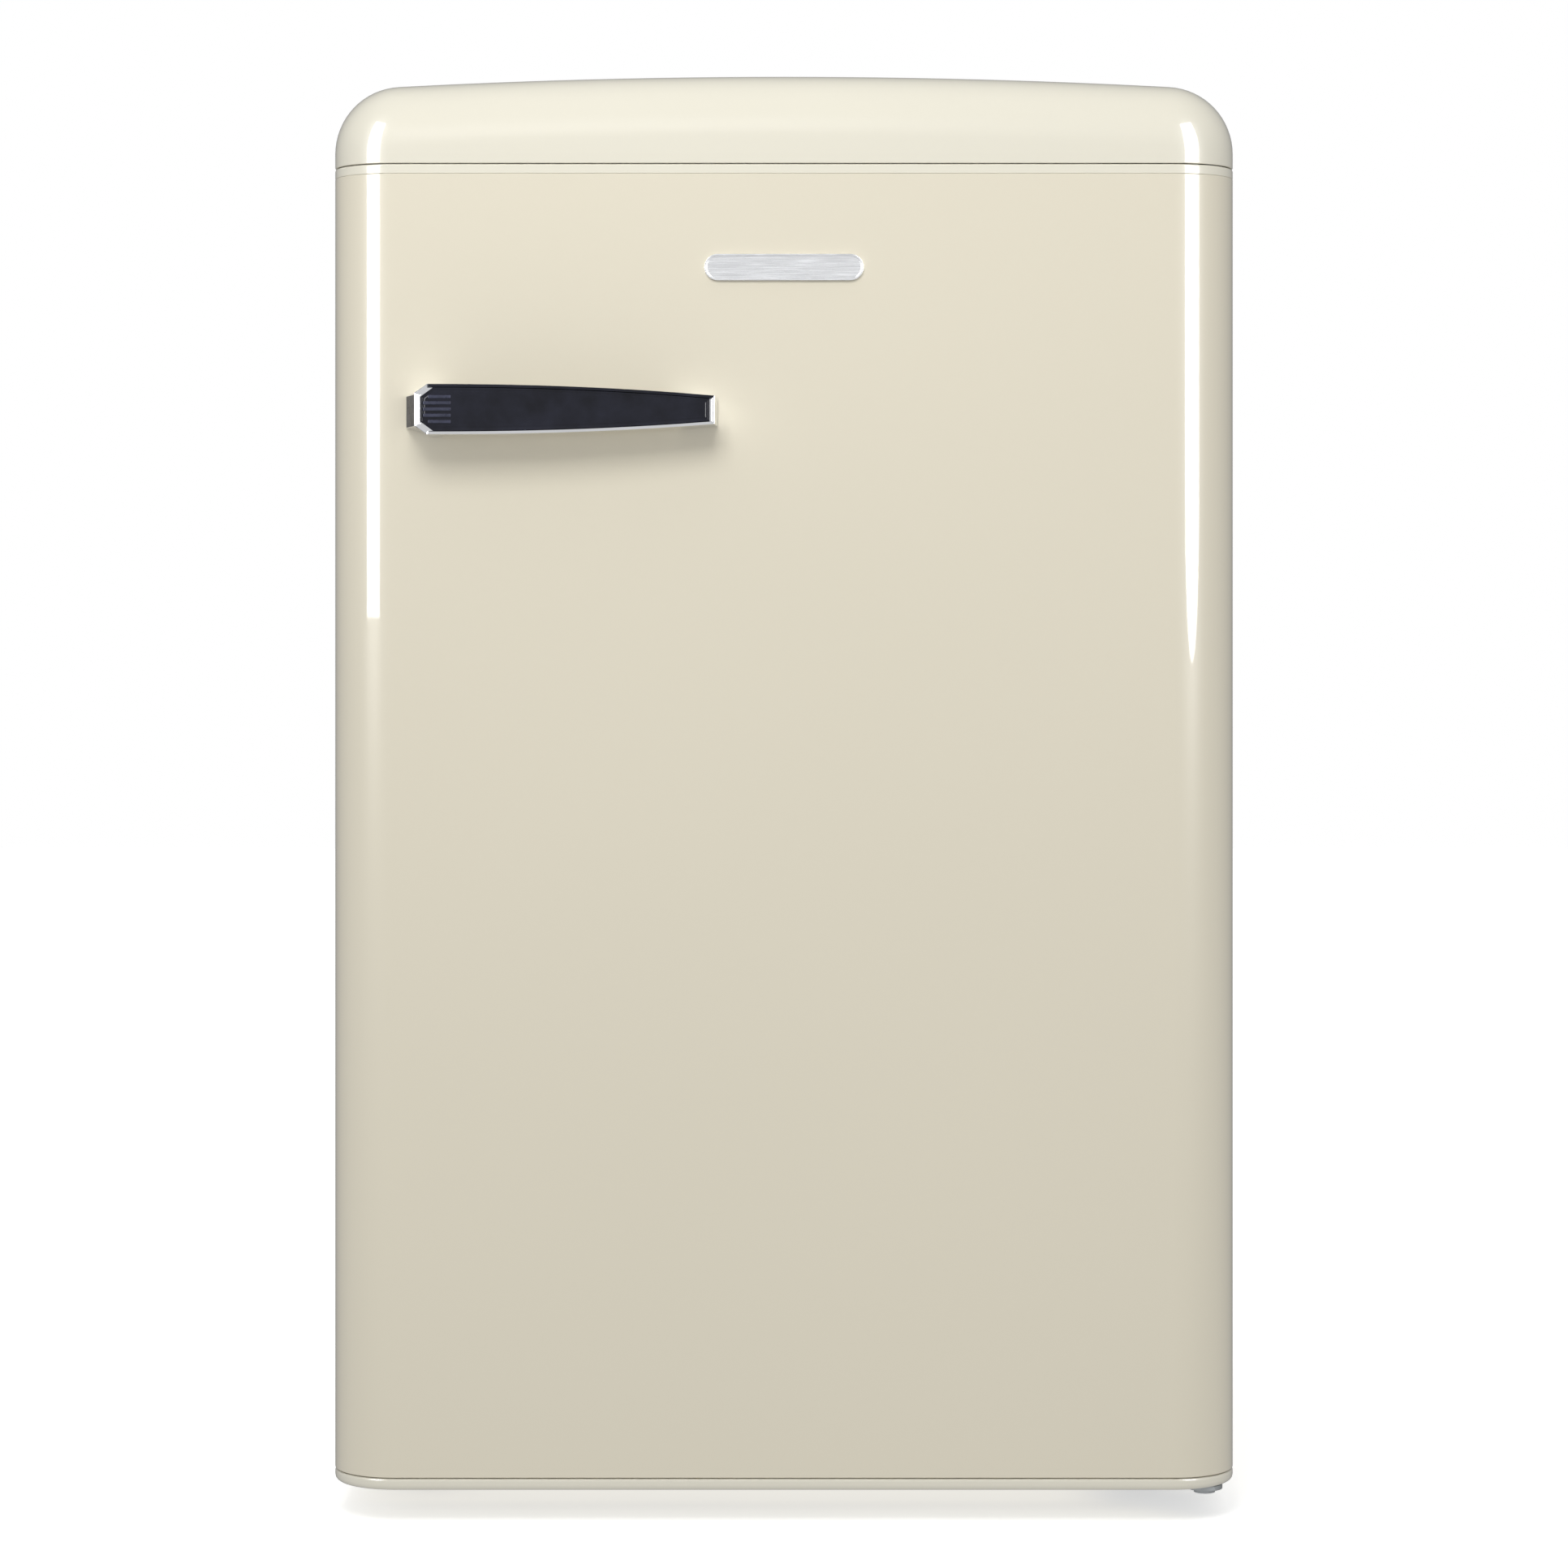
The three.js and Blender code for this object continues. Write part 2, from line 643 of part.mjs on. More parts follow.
// A raised rectangular frame on the door liner, from y0 to y1, its section inset all round.
function ridgeFrame(inset, y0, y1) {
  const outer = ridgeHalf - inset;
  const inner = ridgeInner + inset;
  const high = ridgeTop - inset;
  const low = ridgeBottom + inset;
  const width = RIDGE.width - 2 * inset;
  const solid = box(-outer, outer, y0, y1, low, high);
  return solid.subtract(box(-inner, inner, y0 - 1, y1 + 1, low + width, high - width));
}

function doorLiner() {
  const wide = half - SHEET - FIT;
  let panel = box(-wide, wide, plateFront, doorFace, skinBottom, skinTop);
  panel = panel.add(ridgeFrame(0, doorFace - 1, doorFace + RIDGE.height));
  panel = panel.subtract(ridgeFrame(DOOR_LINER, plateFront - 1, doorFace + RIDGE.height - DOOR_LINER));
  const toeHalf = liner.half - TOE_PANEL.inset;
  const toeLow = liner.floor + TOE_PANEL.inset / 2;
  const toeHigh = ridgeBottom - TOE_PANEL.inset / 2;
  panel = panel.add(box(-toeHalf, toeHalf, doorFace - 1, doorFace + TOE_PANEL.height, toeLow, toeHigh));
  const { half: strikerHalf, height, reach } = STRIKER;
  const strikerX = [plungerX - strikerHalf, plungerX + strikerHalf];
  const strikerZ = [plungerZ - height / 2, plungerZ + height / 2];
  panel = panel.add(box(...strikerX, doorFace - 1, doorFace + reach, ...strikerZ));
  for (const balcony of BALCONIES) {
    for (const s of [-1, 1]) panel = panel.add(lug(balcony, s));
  }
  return panel;
}

function doorInsulation() {
  let foam = raise(doorOutline(SHEET + FIT, plateFront - FIT), skinBottom, skinTop);
  const inset = DOOR_LINER + FIT;
  foam = foam.add(ridgeFrame(inset, plateFront - 2, doorFace + RIDGE.height - inset));
  const pocket = bushOuter + BOSS_WALL + 2 * FIT;
  foam = foam.subtract(cylinder(pocket, pinX, pinY, 0, bottomBoss + FIT));
  return foam.subtract(cylinder(pocket, pinX, pinY, topBoss - FIT, HEIGHT));
}

// Magnetic seal: a rectangular frame of soft section around the liner's opening.
function doorGasket() {
  const inner = liner.half + GASKET.inset;
  const outer = inner + GASKET.width;
  const low = liner.floor - GASKET.inset;
  const high = liner.ceiling + GASKET.inset;
  const front = doorFace + FIT;
  const back = cabinetFront - FIT;
  const ring = box(-outer, outer, front, back, low - GASKET.width, high + GASKET.width);
  return ring.subtract(box(-inner, inner, front - 1, back + 1, low, high));
}

// ---------------------------------------------------------------- balconies
const balconyHalf = ridgeInner - BALCONY_GAP;

function balconyFloor({ share }) {
  const recessLow = ridgeBottom + RIDGE.width + BALCONY_GAP;
  const recessHigh = ridgeTop - RIDGE.width;
  return recessLow + (recessHigh - recessLow) * share;
}

// The lug on the door liner that a balcony's ear drops over.
function lug(balcony, s) {
  const top = balconyFloor(balcony) + balcony.height - LUG.fall;
  const wall = s * (ridgeInner + 1);
  const tip = s * (ridgeInner - LUG.reach);
  return box(
    Math.min(wall, tip),
    Math.max(wall, tip),
    doorFace + LUG.back,
    doorFace + LUG.back + LUG.width,
    top - LUG.height,
    top,
  );
}

// Open tray; each end wall has an ear with a slot, open below, for its lug.
function balconyTray(balcony) {
  const { depth, height } = balcony;
  const z = balconyFloor(balcony);
  const y0 = doorFace + FIT;
  const y1 = y0 + depth;
  const w = BALCONY_WALL;
  let tray = box(-balconyHalf, balconyHalf, y0, y1, z, z + height);
  tray = tray.subtract(box(-balconyHalf + w, balconyHalf - w, y0 + w, y1 - w, z + w, z + height + 1));
  const earMiddle = doorFace + LUG.back + LUG.width / 2;
  const slotTop = z + height - LUG.fall + FIT;
  const slotHalf = LUG.width / 2 + FIT;
  for (const s of [-1, 1]) {
    const outer = s * (ridgeInner - FIT);
    const joint = s * (balconyHalf - 1);
    const span = [Math.min(outer, joint), Math.max(outer, joint)];
    const ear = [earMiddle - EAR.width / 2, earMiddle + EAR.width / 2];
    tray = tray.add(box(...span, ...ear, z + height - EAR.height, z + height));
    const cut = [s * balconyHalf, s * ridgeHalf].sort((a, b) => a - b);
    tray = tray.subtract(box(...cut, earMiddle - slotHalf, earMiddle + slotHalf, z - 1, slotTop));
  }
  return tray;
}

// ---------------------------------------------------------------- handle
const handleZ = seam - HANDLE.drop;
const handleLeft = -half + HANDLE.sideInset;
const handleRight = handleLeft + HANDLE.length;
const barLength = HANDLE.length - 2 * HANDLE.foot;

// Front view: curved taper from the tall outer end, whose corners are cut off, to the low inner end.
function handleOutline(inset) {
  const { leftHeight, rightHeight, chamferX, chamferZ, foot: slope, taper } = HANDLE;
  const tall = leftHeight / 2 - inset;
  const low = rightHeight / 2 - inset;
  const x0 = handleLeft + inset;
  const x1 = handleRight - inset;
  const cut = chamferX + slope;
  const edge = [[x0, tall - chamferZ]];
  const steps = 8;
  for (let i = 0; i <= steps; i++) {
    const along = i / steps;
    edge.push([x0 + cut + (x1 - x0 - cut) * along, tall - (tall - low) * along ** taper]);
  }
  const lower = edge.map(([x, z]) => [x, handleZ - z]);
  const upper = edge.map(([x, z]) => [x, handleZ + z]).reverse();
  return polygon([...lower, ...upper]);
}

// The bowed front of the bar in plan view, as points along the bar less a margin at each end.
function handleBow(inset, margin = 0) {
  const points = [];
  const steps = 8;
  for (let i = 0; i <= steps; i++) {
    const along = margin + ((barLength - 2 * margin) * i) / steps;
    const fall = HANDLE.fall * (along / barLength) ** 2;
    points.push([handleLeft + HANDLE.foot + along, handleFront + inset + fall]);
  }
  return points;
}

// Bridge: a post at each end and a bar between, with room for fingers behind it.
function handleBody() {
  const wall = doorFront - FIT;
  const { post, bar } = HANDLE;
  const plan = polygon([
    [handleLeft, wall],
    ...handleBow(0),
    [handleRight, wall],
    [handleRight - post, wall],
    ...handleBow(bar, post).reverse(),
    [handleLeft + post, wall],
  ]);
  const bridge = raise(plan, handleZ - HANDLE.leftHeight, handleZ + HANDLE.leftHeight);
  const body = bridge.intersect(runBack(handleOutline(0), handleFront - 1, doorFront));
  return body.subtract(handleInlay(HANDLE.rim, HANDLE.inlay, 1));
}

// The shallow plate let into the front of the bar, thickened outwards by proud where it cuts its own seat.
function handleInlay(rim, depth, proud = 0) {
  const section = polygon([...handleBow(-proud), ...handleBow(depth).reverse()]);
  const band = raise(section, handleZ - HANDLE.leftHeight, handleZ + HANDLE.leftHeight);
  const end = HANDLE.foot + rim;
  const trimmed = band.intersect(box(handleLeft + end, handleRight - end, -DEPTH, 0, 0, HEIGHT));
  return trimmed.intersect(runBack(handleOutline(rim), handleFront - 2 * rim, doorFront));
}

function badgePlate() {
  const { width, height, thickness, drop } = BADGE;
  const r = height / 2;
  const z = seam - drop;
  const shape = new THREE.Shape();
  shape.absarc(width / 2 - r, z, r, -Math.PI / 2, Math.PI / 2);
  shape.absarc(-width / 2 + r, z, r, Math.PI / 2, 1.5 * Math.PI);
  return runBack(shape, doorFront - FIT - thickness, doorFront - FIT);
}

// ---------------------------------------------------------------- shelves and crisper
const shelfHalf = liner.half - SHELF_SIDE_GAP;
const glassBack = liner.back - LINER_SHEET - 1;
const crisperCoverZ = liner.stepTop + LEDGE.height + 1;
const crisperBack = liner.stepFront - CRISPER.rearGap;
const crisperFront = crisperBack - CRISPER.depth;

const shelfGlass = (z, front) => box(-shelfHalf, shelfHalf, front, glassBack, z, z + GLASS);

// Trim clipped over the front edge of a glass: a channel open to the back.
function shelfTrim(z, front) {
  const { height, depth, wall } = TRIM;
  const middle = z + GLASS / 2;
  const under = middle - height / 2;
  const outer = box(-shelfHalf, shelfHalf, front - wall - FIT, front + depth, under, under + height);
  return outer.subtract(box(-half, half, front - FIT, front + depth + 1, z - FIT, z + GLASS + FIT));
}

function crisperDrawer() {
  const wide = liner.half - CRISPER.sideGap;
  const low = liner.floor + FLOOR_GAP;
  const high = liner.stepTop - CRISPER.headroom;
  const w = CRISPER.wall;
  let tray = box(-wide, wide, crisperFront, crisperBack, low, high);
  tray = tray.subtract(box(-wide + w, wide - w, crisperFront + w, crisperBack - w, low + w, high + 1));
  const rim = high + CRISPER.frontRise;
  const lipY = crisperFront - CRISPER.lip;
  const face = box(-wide, wide, crisperFront, crisperFront + w, low, rim);
  const lip = box(-wide / 2, wide / 2, lipY, crisperFront + w, rim - w, rim);
  const turnDown = box(-wide / 2, wide / 2, lipY, lipY + w, rim - CRISPER.lipHeight, rim);
  return tray.add(face).add(lip).add(turnDown);
}

// ---------------------------------------------------------------- control housing
const control = {
  left: liner.half - CONTROL.fromSide - CONTROL.width,
  right: liner.half - CONTROL.fromSide,
  top: liner.ceiling - FIT,
  bottom: liner.ceiling - CONTROL.height,
  front: cabinetFront + CONTROL.front,
};
const plungerX = control.right - PLUNGER.fromRight;
const plungerZ = liner.ceiling - PLUNGER.drop;
const knobX = control.right - KNOB.fromRight;
const knobY = control.front + KNOB.fromFront;
const lensLeft = control.left + LENS.fromLeft;
const lensFront = control.front + LENS.fromFront;

// A cylinder along Y, used for the switch plunger and its bore.
function rod(radius, x, z, y0, y1) {
  const cylinderAlongY = new THREE.CylinderGeometry(radius, radius, y1 - y0, ROUND_SIDES / 2);
  return toSolid(cylinderAlongY.translate(x, (y0 + y1) / 2, z));
}

function controlHousing() {
  const w = CONTROL.wall;
  const back = control.front + CONTROL.depth;
  let shell = box(control.left, control.right, control.front, back, control.bottom, control.top);
  const insideX = [control.left + w, control.right - w];
  shell = shell.subtract(box(...insideX, control.front + w, back - w, control.bottom + w, control.top + 1));
  const through = [control.bottom - 1, control.bottom + 2 * w];
  const windowX = [lensLeft + LENS.wall, lensLeft + LENS.width - LENS.wall];
  const windowY = [lensFront + LENS.wall, lensFront + LENS.length - LENS.wall];
  shell = shell.subtract(box(...windowX, ...windowY, ...through));
  shell = shell.subtract(cylinder(KNOB.spindle + FIT, knobX, knobY, ...through));
  const bore = rod(PLUNGER.radius + RUNNING, plungerX, plungerZ, control.front - 1, control.front + 2 * w);
  return shell.subtract(bore);
}

// Clear cover hung under the housing: a shallow tray open upwards.
function lampLens() {
  const { width, length, height, wall } = LENS;
  const top = control.bottom - FIT;
  const outer = box(lensLeft, lensLeft + width, lensFront, lensFront + length, top - height, top);
  const insideX = [lensLeft + wall, lensLeft + width - wall];
  const insideY = [lensFront + wall, lensFront + length - wall];
  return outer.subtract(box(...insideX, ...insideY, top - height + wall, top + 1));
}

// Knob with a finger bar across its face and a spindle up into the housing; axis along Z.
function thermostatKnob() {
  const { radius, height, spindle } = KNOB;
  const face = control.bottom - FIT;
  const disc = turned([
    [0, face - height],
    [radius - 3, face - height],
    [radius, face - height + 3],
    [radius, face],
    [spindle, face],
    [spindle, face + 12],
    [0, face + 12],
  ]);
  const bar = box(-radius + 1, radius - 1, -spindle, spindle, face - height - 3, face - height + 1);
  return disc.add(bar);
}

function switchPlunger() {
  const tip = doorFace + STRIKER.reach + PLUNGER.gap;
  return rod(PLUNGER.radius, plungerX, plungerZ, tip, control.front + PLUNGER.seat);
}

// ---------------------------------------------------------------- cooling circuit
function compressorRail() {
  const y0 = cabinetBack - RAIL.fromBack - RAIL.depth;
  let rail = box(-betweenSides, betweenSides, y0, y0 + RAIL.depth, cabinetBottom, railTop);
  for (const x of footXs) rail = rail.subtract(footHole(x, rearFootY));
  return rail;
}

const grommetTop = railTop + FIT + GROMMET.height;
const plateZ = grommetTop + FIT;
const potZ = plateZ + COMPRESSOR.plate;

// Hermetic pot: two pressed bowls welded at a flange, oval in plan, on a pressed foot plate.
function compressorPot() {
  const { halfLength, halfWidth, height, plate, plateX, plateY } = COMPRESSOR;
  const r = halfWidth;
  const profile = [
    [0, 0],
    [r * 0.72, 0],
    [r * 0.94, height * 0.14],
    [r, height * 0.42],
    [r + 4, height * 0.42],
    [r + 4, height * 0.46],
    [r, height * 0.46],
    [r * 0.95, height * 0.78],
    [r * 0.78, height * 0.95],
    [r * 0.5, height],
    [0, height],
  ].map(([radius, z]) => new THREE.Vector2(radius, z));
  const pot = new THREE.LatheGeometry(profile, ROUND_SIDES).rotateX(Math.PI / 2);
  pot.scale(halfLength / (halfWidth + 4), 1, 1);
  const feet = box(-plateX, plateX, -plateY, plateY, -plate, 1);
  return toSolid(pot).add(feet).add(stub(-STUB.spread, DISCHARGE_AT)).add(stub(STUB.spread, SUCTION_AT));
}

// Connecting stub on the pot's right end, y aside from its middle and at a share of its height.
function stub(y, share) {
  const { halfLength, height } = COMPRESSOR;
  const tube = new THREE.CylinderGeometry(PIPE.radius, PIPE.radius, halfLength / 2, ROUND_SIDES / 2);
  tube.rotateZ(Math.PI / 2).translate(halfLength * 0.75 + STUB.length, y, height * share);
  return toSolid(tube);
}

function grommet() {
  const { radius, height, waist } = GROMMET;
  return turned(
    [
      [0, 0],
      [radius, 0],
      [radius, height * 0.3],
      [waist, height * 0.45],
      [waist, height * 0.6],
      [radius - 1, height * 0.75],
      [radius - 1, height],
      [0, height],
    ],
    ROUND_SIDES / 2,
  );
}

// Start relay and terminal box on the compressor's side.
function relayCover() {
  const { length, width, height } = RELAY;
  return box(-length, 0, -width / 2, width / 2, 0, height);
}

function evaporationTray() {
  const { halfX, halfY, height, wall } = TRAY;
  const outer = box(-halfX, halfX, -halfY, halfY, 0, height);
  return outer.subtract(box(-halfX + wall, halfX - wall, -halfY + wall, halfY - wall, wall, height + 1));
}

const runZ = (i) => condenserLow + CONDENSER.tube / 2 + i * condenserPitch;

// Wire-on-tube condenser: one flat serpentine with upright wires laid on its back.
function condenserGrid() {
  const { runs, tube, wires, wire, bite, tail } = CONDENSER;
  const tubeY = [condenserY, condenserY + tube];
  const bend = condenserPitch / 2;
  const end = condenserEnd;
  let grid = box(-end - tube, -end, ...tubeY, condenserLow - tail, condenserLow + tube);
  for (let i = 0; i < runs; i++) {
    grid = grid.add(box(-end - 1, end + 1, ...tubeY, runZ(i) - tube / 2, runZ(i) + tube / 2));
    if (i === runs - 1) continue;
    const s = i % 2 ? -1 : 1;
    const shape = new THREE.Shape();
    shape.absarc(s * end, runZ(i) + bend, bend + tube / 2, -Math.PI / 2, Math.PI / 2, s < 0);
    shape.absarc(s * end, runZ(i) + bend, bend - tube / 2, Math.PI / 2, -Math.PI / 2, s > 0);
    grid = grid.add(runBack(shape, ...tubeY, 3));
  }
  const wireY = [condenserY + tube - bite, condenserY + tube - bite + wire];
  for (let i = 0; i < wires; i++) {
    const x = -end + ((2 * end) / (wires - 1)) * i;
    grid = grid.add(box(x - wire / 2, x + wire / 2, ...wireY, condenserLow, condenserHigh));
  }
  return grid;
}

// Stand-off clipped round one run of the condenser, its middle at z = 0.
function condenserBracket() {
  const { width, height, grip } = BRACKET;
  const arm = box(-width / 2, width / 2, backPanelOut + FIT, condenserY + grip, -height / 2, height / 2);
  const slot = CONDENSER.tube / 2 + FIT;
  return arm.subtract(box(-width, width, condenserY - FIT, DEPTH, -slot, slot));
}

// Filter drier brazed between the condenser's outlet and the capillary that goes up into the cabinet.
function filterDrier() {
  const { radius, length, top, setback } = DRIER;
  const x = -condenserEnd - CONDENSER.tube / 2;
  const y = cabinetBack - setback;
  const outletY = condenserY + CONDENSER.tube / 2;
  const bottom = top - length;
  const neck = PIPE.radius + 1;
  const can = turned(
    [
      [0, bottom],
      [neck, bottom],
      [radius, bottom + 12],
      [radius, top - 12],
      [neck, top],
      [0, top],
    ],
    ROUND_SIDES / 2,
  );
  const inlet = pipe(
    [
      [x, y, top - 6],
      [x, y, top + 18],
      [x, outletY, top + 34],
      [x, outletY, condenserLow - CONDENSER.tail - FIT],
    ],
    PIPE.radius,
  );
  const capillary = pipe(
    [
      [x, y, bottom + 6],
      [x, y, bottom - 26],
      [x + 34, y, bottom - 26],
      [x + 34, y, nicheTop - FIT],
    ],
    PIPE.capillary,
  );
  return can.translate([x, y, 0]).add(inlet).add(capillary);
}

// ---------------------------------------------------------------- assembly: cabinet
place(cabinet, "left_side_panel", sidePanel("left"), CREAM);
place(cabinet, "right_side_panel", sidePanel("right"), CREAM);
place(cabinet, "top_panel", topPanel(), CREAM);
place(cabinet, "base_pan", basePan(), CREAM);
place(cabinet, "back_panel", backPanel(), ZINC);
place(cabinet, "inner_liner", innerLiner(), WHITE);
place(cabinet, "cabinet_insulation", cabinetInsulation(), FOAM);
place(cabinet, "evaporator_plate", evaporatorPlate(), ALUMINIUM);
place(cabinet, "top_cap", topCap(), CREAM);
place(cabinet, "cap_underplate", capUnderplate(), WHITE);
const insideCap = capBody(CAP_WALL + FIT, cabinetBack, seam);
place(cabinet, "upper_hinge_bracket", hingePlate(upperPlateZ).intersect(insideCap), ZINC);
place(cabinet, "lower_hinge_bracket", hingePlate(lowerPlateZ), ZINC);

const upperHead = upperPlateZ + HINGE_PLATE.thickness + FIT;
const upperPin = hingePin(upperHead - doorTop + PIN_DEPTH).rotate([180, 0, 0]);
place(cabinet, "upper_hinge_pin", upperPin, ZINC, [pinX, pinY, upperHead + PIN_HEAD.height]);
const lowerHead = lowerPlateZ - FIT;
const lowerPin = hingePin(doorBottom + PIN_DEPTH - lowerHead);
place(cabinet, "lower_hinge_pin", lowerPin, ZINC, [pinX, pinY, lowerHead - PIN_HEAD.height]);

const shelves = [
  ["shelf_upper", levelZ(UPPER_SHELF), shelfFront],
  ["shelf_lower", levelZ(LOWER_SHELF), shelfFront],
  ["crisper_cover", crisperCoverZ, crisperFront],
];
for (const [name, z, front] of shelves) {
  place(cabinet, `${name}_glass`, shelfGlass(z, front), SHELF_GLASS);
  place(cabinet, `${name}_trim`, shelfTrim(z, front), WHITE);
}
place(cabinet, "crisper_drawer", crisperDrawer(), CLEAR);

place(cabinet, "control_housing", controlHousing(), WHITE);
place(cabinet, "lamp_lens", lampLens(), CLEAR);
place(cabinet, "thermostat_knob", thermostatKnob(), WHITE, [knobX, knobY, 0]);
place(cabinet, "switch_plunger", switchPlunger(), WHITE);

for (const [side, x] of [["left", footXs[0]], ["right", footXs[1]]]) {
  place(cabinet, `front_foot_${side}`, foot(), BLACK_PLASTIC, [x, frontFootY, 0]);
  place(cabinet, `rear_foot_${side}`, foot(), BLACK_PLASTIC, [x, rearFootY, 0]);
}

// ---------------------------------------------------------------- assembly: cooling circuit
const plant = new THREE.Group();
plant.position.set(COMPRESSOR.x, compressorY, 0);
cabinet.add(plant);
place(cabinet, "compressor_rail", compressorRail(), ZINC);
place(plant, "compressor_pot", compressorPot(), BLACK_STEEL, [0, 0, potZ]);
const grommetX = COMPRESSOR.plateX - GROMMET.radius - 1;
const grommetY = COMPRESSOR.plateY - GROMMET.radius - 1;
[[-1, -1], [1, -1], [-1, 1], [1, 1]].forEach(([sx, sy], i) => {
  const position = [sx * grommetX, sy * grommetY, railTop + FIT];
  place(plant, `compressor_grommet_${i + 1}`, grommet(), BLACK_RUBBER, position);
});
const relayX = -COMPRESSOR.halfLength - FIT;
const relayZ = potZ + RELAY.lift;
place(plant, "relay_cover", relayCover(), BLACK_PLASTIC, [relayX, 0, relayZ]);
const glandPosition = [relayX - RELAY.length / 2, RELAY.width / 2 + FIT, relayZ + GLAND.radius * 2];
const gland = new THREE.CylinderGeometry(GLAND.radius * 0.7, GLAND.radius, GLAND.length, ROUND_SIDES / 2);
gland.translate(0, GLAND.length / 2, 0);
place(plant, "mains_cord_gland", toSolid(gland), BLACK_RUBBER, glandPosition);
place(plant, "evaporation_tray", evaporationTray(), BLACK_PLASTIC, [0, 0, potZ + COMPRESSOR.height + FIT]);

place(cabinet, "condenser_grid", condenserGrid(), BLACK_STEEL);
const bracketX = condenserEnd - BRACKET.width;
[[-1, 1], [1, 1], [-1, CONDENSER.runs - 2], [1, CONDENSER.runs - 2]].forEach(([s, run], i) => {
  const position = [s * bracketX, 0, runZ(run)];
  place(cabinet, `condenser_bracket_${i + 1}`, condenserBracket(), BLACK_PLASTIC, position);
});

// Discharge pipe: from the pot out behind the cabinet and up beside the condenser to its top run.
const stubX = COMPRESSOR.x + COMPRESSOR.halfLength + STUB.length + FIT;
const riserX = condenserHalf + PIPE.bend;
const riserY = condenserY + CONDENSER.tube / 2;
const dischargeY = compressorY - STUB.spread;
const dischargeZ = potZ + COMPRESSOR.height * DISCHARGE_AT;
const discharge = pipe(
  [
    [stubX, dischargeY, dischargeZ],
    [riserX, dischargeY, dischargeZ],
    [riserX, riserY, dischargeZ],
    [riserX, riserY, runZ(CONDENSER.runs - 1)],
    [condenserEnd + 1 + FIT, riserY, runZ(CONDENSER.runs - 1)],
  ],
  PIPE.radius,
);
place(cabinet, "discharge_pipe", discharge, COPPER);

// Suction pipe: down from the roof of the niche to the pot.
const suctionX = stubX + 2 * PIPE.bend;
const suctionY = compressorY + STUB.spread;
const suctionZ = potZ + COMPRESSOR.height * SUCTION_AT;
const suction = pipe(
  [
    [suctionX, suctionY, nicheTop - FIT],
    [suctionX, suctionY, suctionZ],
    [stubX, suctionY, suctionZ],
  ],
  PIPE.radius,
);
place(cabinet, "suction_pipe", suction, COPPER);
place(cabinet, "filter_drier", filterDrier(), COPPER);

// ---------------------------------------------------------------- assembly: door
place(door, "door_skin", doorSkin(), CREAM);
place(door, "door_top_endcap", doorEndCap(doorTop - TOP_LIP, doorTop, topBoss, doorTop), CREAM);
const bottomEndCap = doorEndCap(doorBottom, doorBottom + BOTTOM_LIP, doorBottom, bottomBoss);
place(door, "door_bottom_endcap", bottomEndCap, CREAM);
place(door, "door_insulation", doorInsulation(), FOAM);
place(door, "door_liner", doorLiner(), WHITE);
place(door, "door_gasket", doorGasket(), GREY_RUBBER);
place(door, "upper_hinge_bush", hingeBush(topBoss + FIT, doorTop), WHITE);
place(door, "lower_hinge_bush", hingeBush(cabinetBottom, bottomBoss - FIT), WHITE);
place(door, "handle_body", handleBody(), CHROME);
place(door, "handle_face", handleInlay(HANDLE.rim + FIT, HANDLE.inlay - FIT), DARK_CHROME);
place(door, "badge_plate", badgePlate(), CHROME);
for (const balcony of BALCONIES) place(door, balcony.name, balconyTray(balcony), CLEAR);

export default root;
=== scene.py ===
"""Looks of a free-standing under-counter refrigerator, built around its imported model.

Metres, +Z up, front facing -Y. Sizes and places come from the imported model's own boxes.
"""

import json
import math
from contextlib import contextmanager

import bmesh
import bpy
from bpy.props import FloatProperty, FloatVectorProperty, IntProperty, PointerProperty
from mathutils import Matrix, Vector

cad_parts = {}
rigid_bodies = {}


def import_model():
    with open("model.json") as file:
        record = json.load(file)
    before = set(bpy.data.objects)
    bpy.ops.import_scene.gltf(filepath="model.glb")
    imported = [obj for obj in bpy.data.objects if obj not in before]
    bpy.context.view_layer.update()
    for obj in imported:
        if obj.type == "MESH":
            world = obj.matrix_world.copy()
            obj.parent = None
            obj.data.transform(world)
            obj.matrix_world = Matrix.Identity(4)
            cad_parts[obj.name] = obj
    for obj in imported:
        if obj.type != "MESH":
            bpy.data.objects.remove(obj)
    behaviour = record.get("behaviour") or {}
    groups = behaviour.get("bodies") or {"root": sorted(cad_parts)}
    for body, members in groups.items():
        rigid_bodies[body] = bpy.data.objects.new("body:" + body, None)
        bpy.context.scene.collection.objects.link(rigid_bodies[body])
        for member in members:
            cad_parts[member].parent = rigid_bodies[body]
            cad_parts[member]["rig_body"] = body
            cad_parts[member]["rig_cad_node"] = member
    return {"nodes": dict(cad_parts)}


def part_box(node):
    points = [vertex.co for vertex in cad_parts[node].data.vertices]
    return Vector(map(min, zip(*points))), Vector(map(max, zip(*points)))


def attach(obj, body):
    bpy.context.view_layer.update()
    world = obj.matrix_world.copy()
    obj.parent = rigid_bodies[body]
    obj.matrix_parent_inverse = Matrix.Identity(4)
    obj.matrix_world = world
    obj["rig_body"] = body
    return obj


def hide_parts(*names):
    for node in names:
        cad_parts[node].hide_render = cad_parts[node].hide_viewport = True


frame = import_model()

bl_info = {
    "name": "Under-counter refrigerator",
    "version": (1, 0, 0),
    "blender": (4, 5, 0),
    "location": "3D View > Sidebar > Refrigerator",
    "description": "Models an under-counter refrigerator's finished pieces on its packed frame",
    "category": "Object",
}

MM = 0.001
FIT = 0.3 * MM  # gap between pieces that touch
X, Y, Z = Vector((1, 0, 0)), Vector((0, 1, 0)), Vector((0, 0, 1))

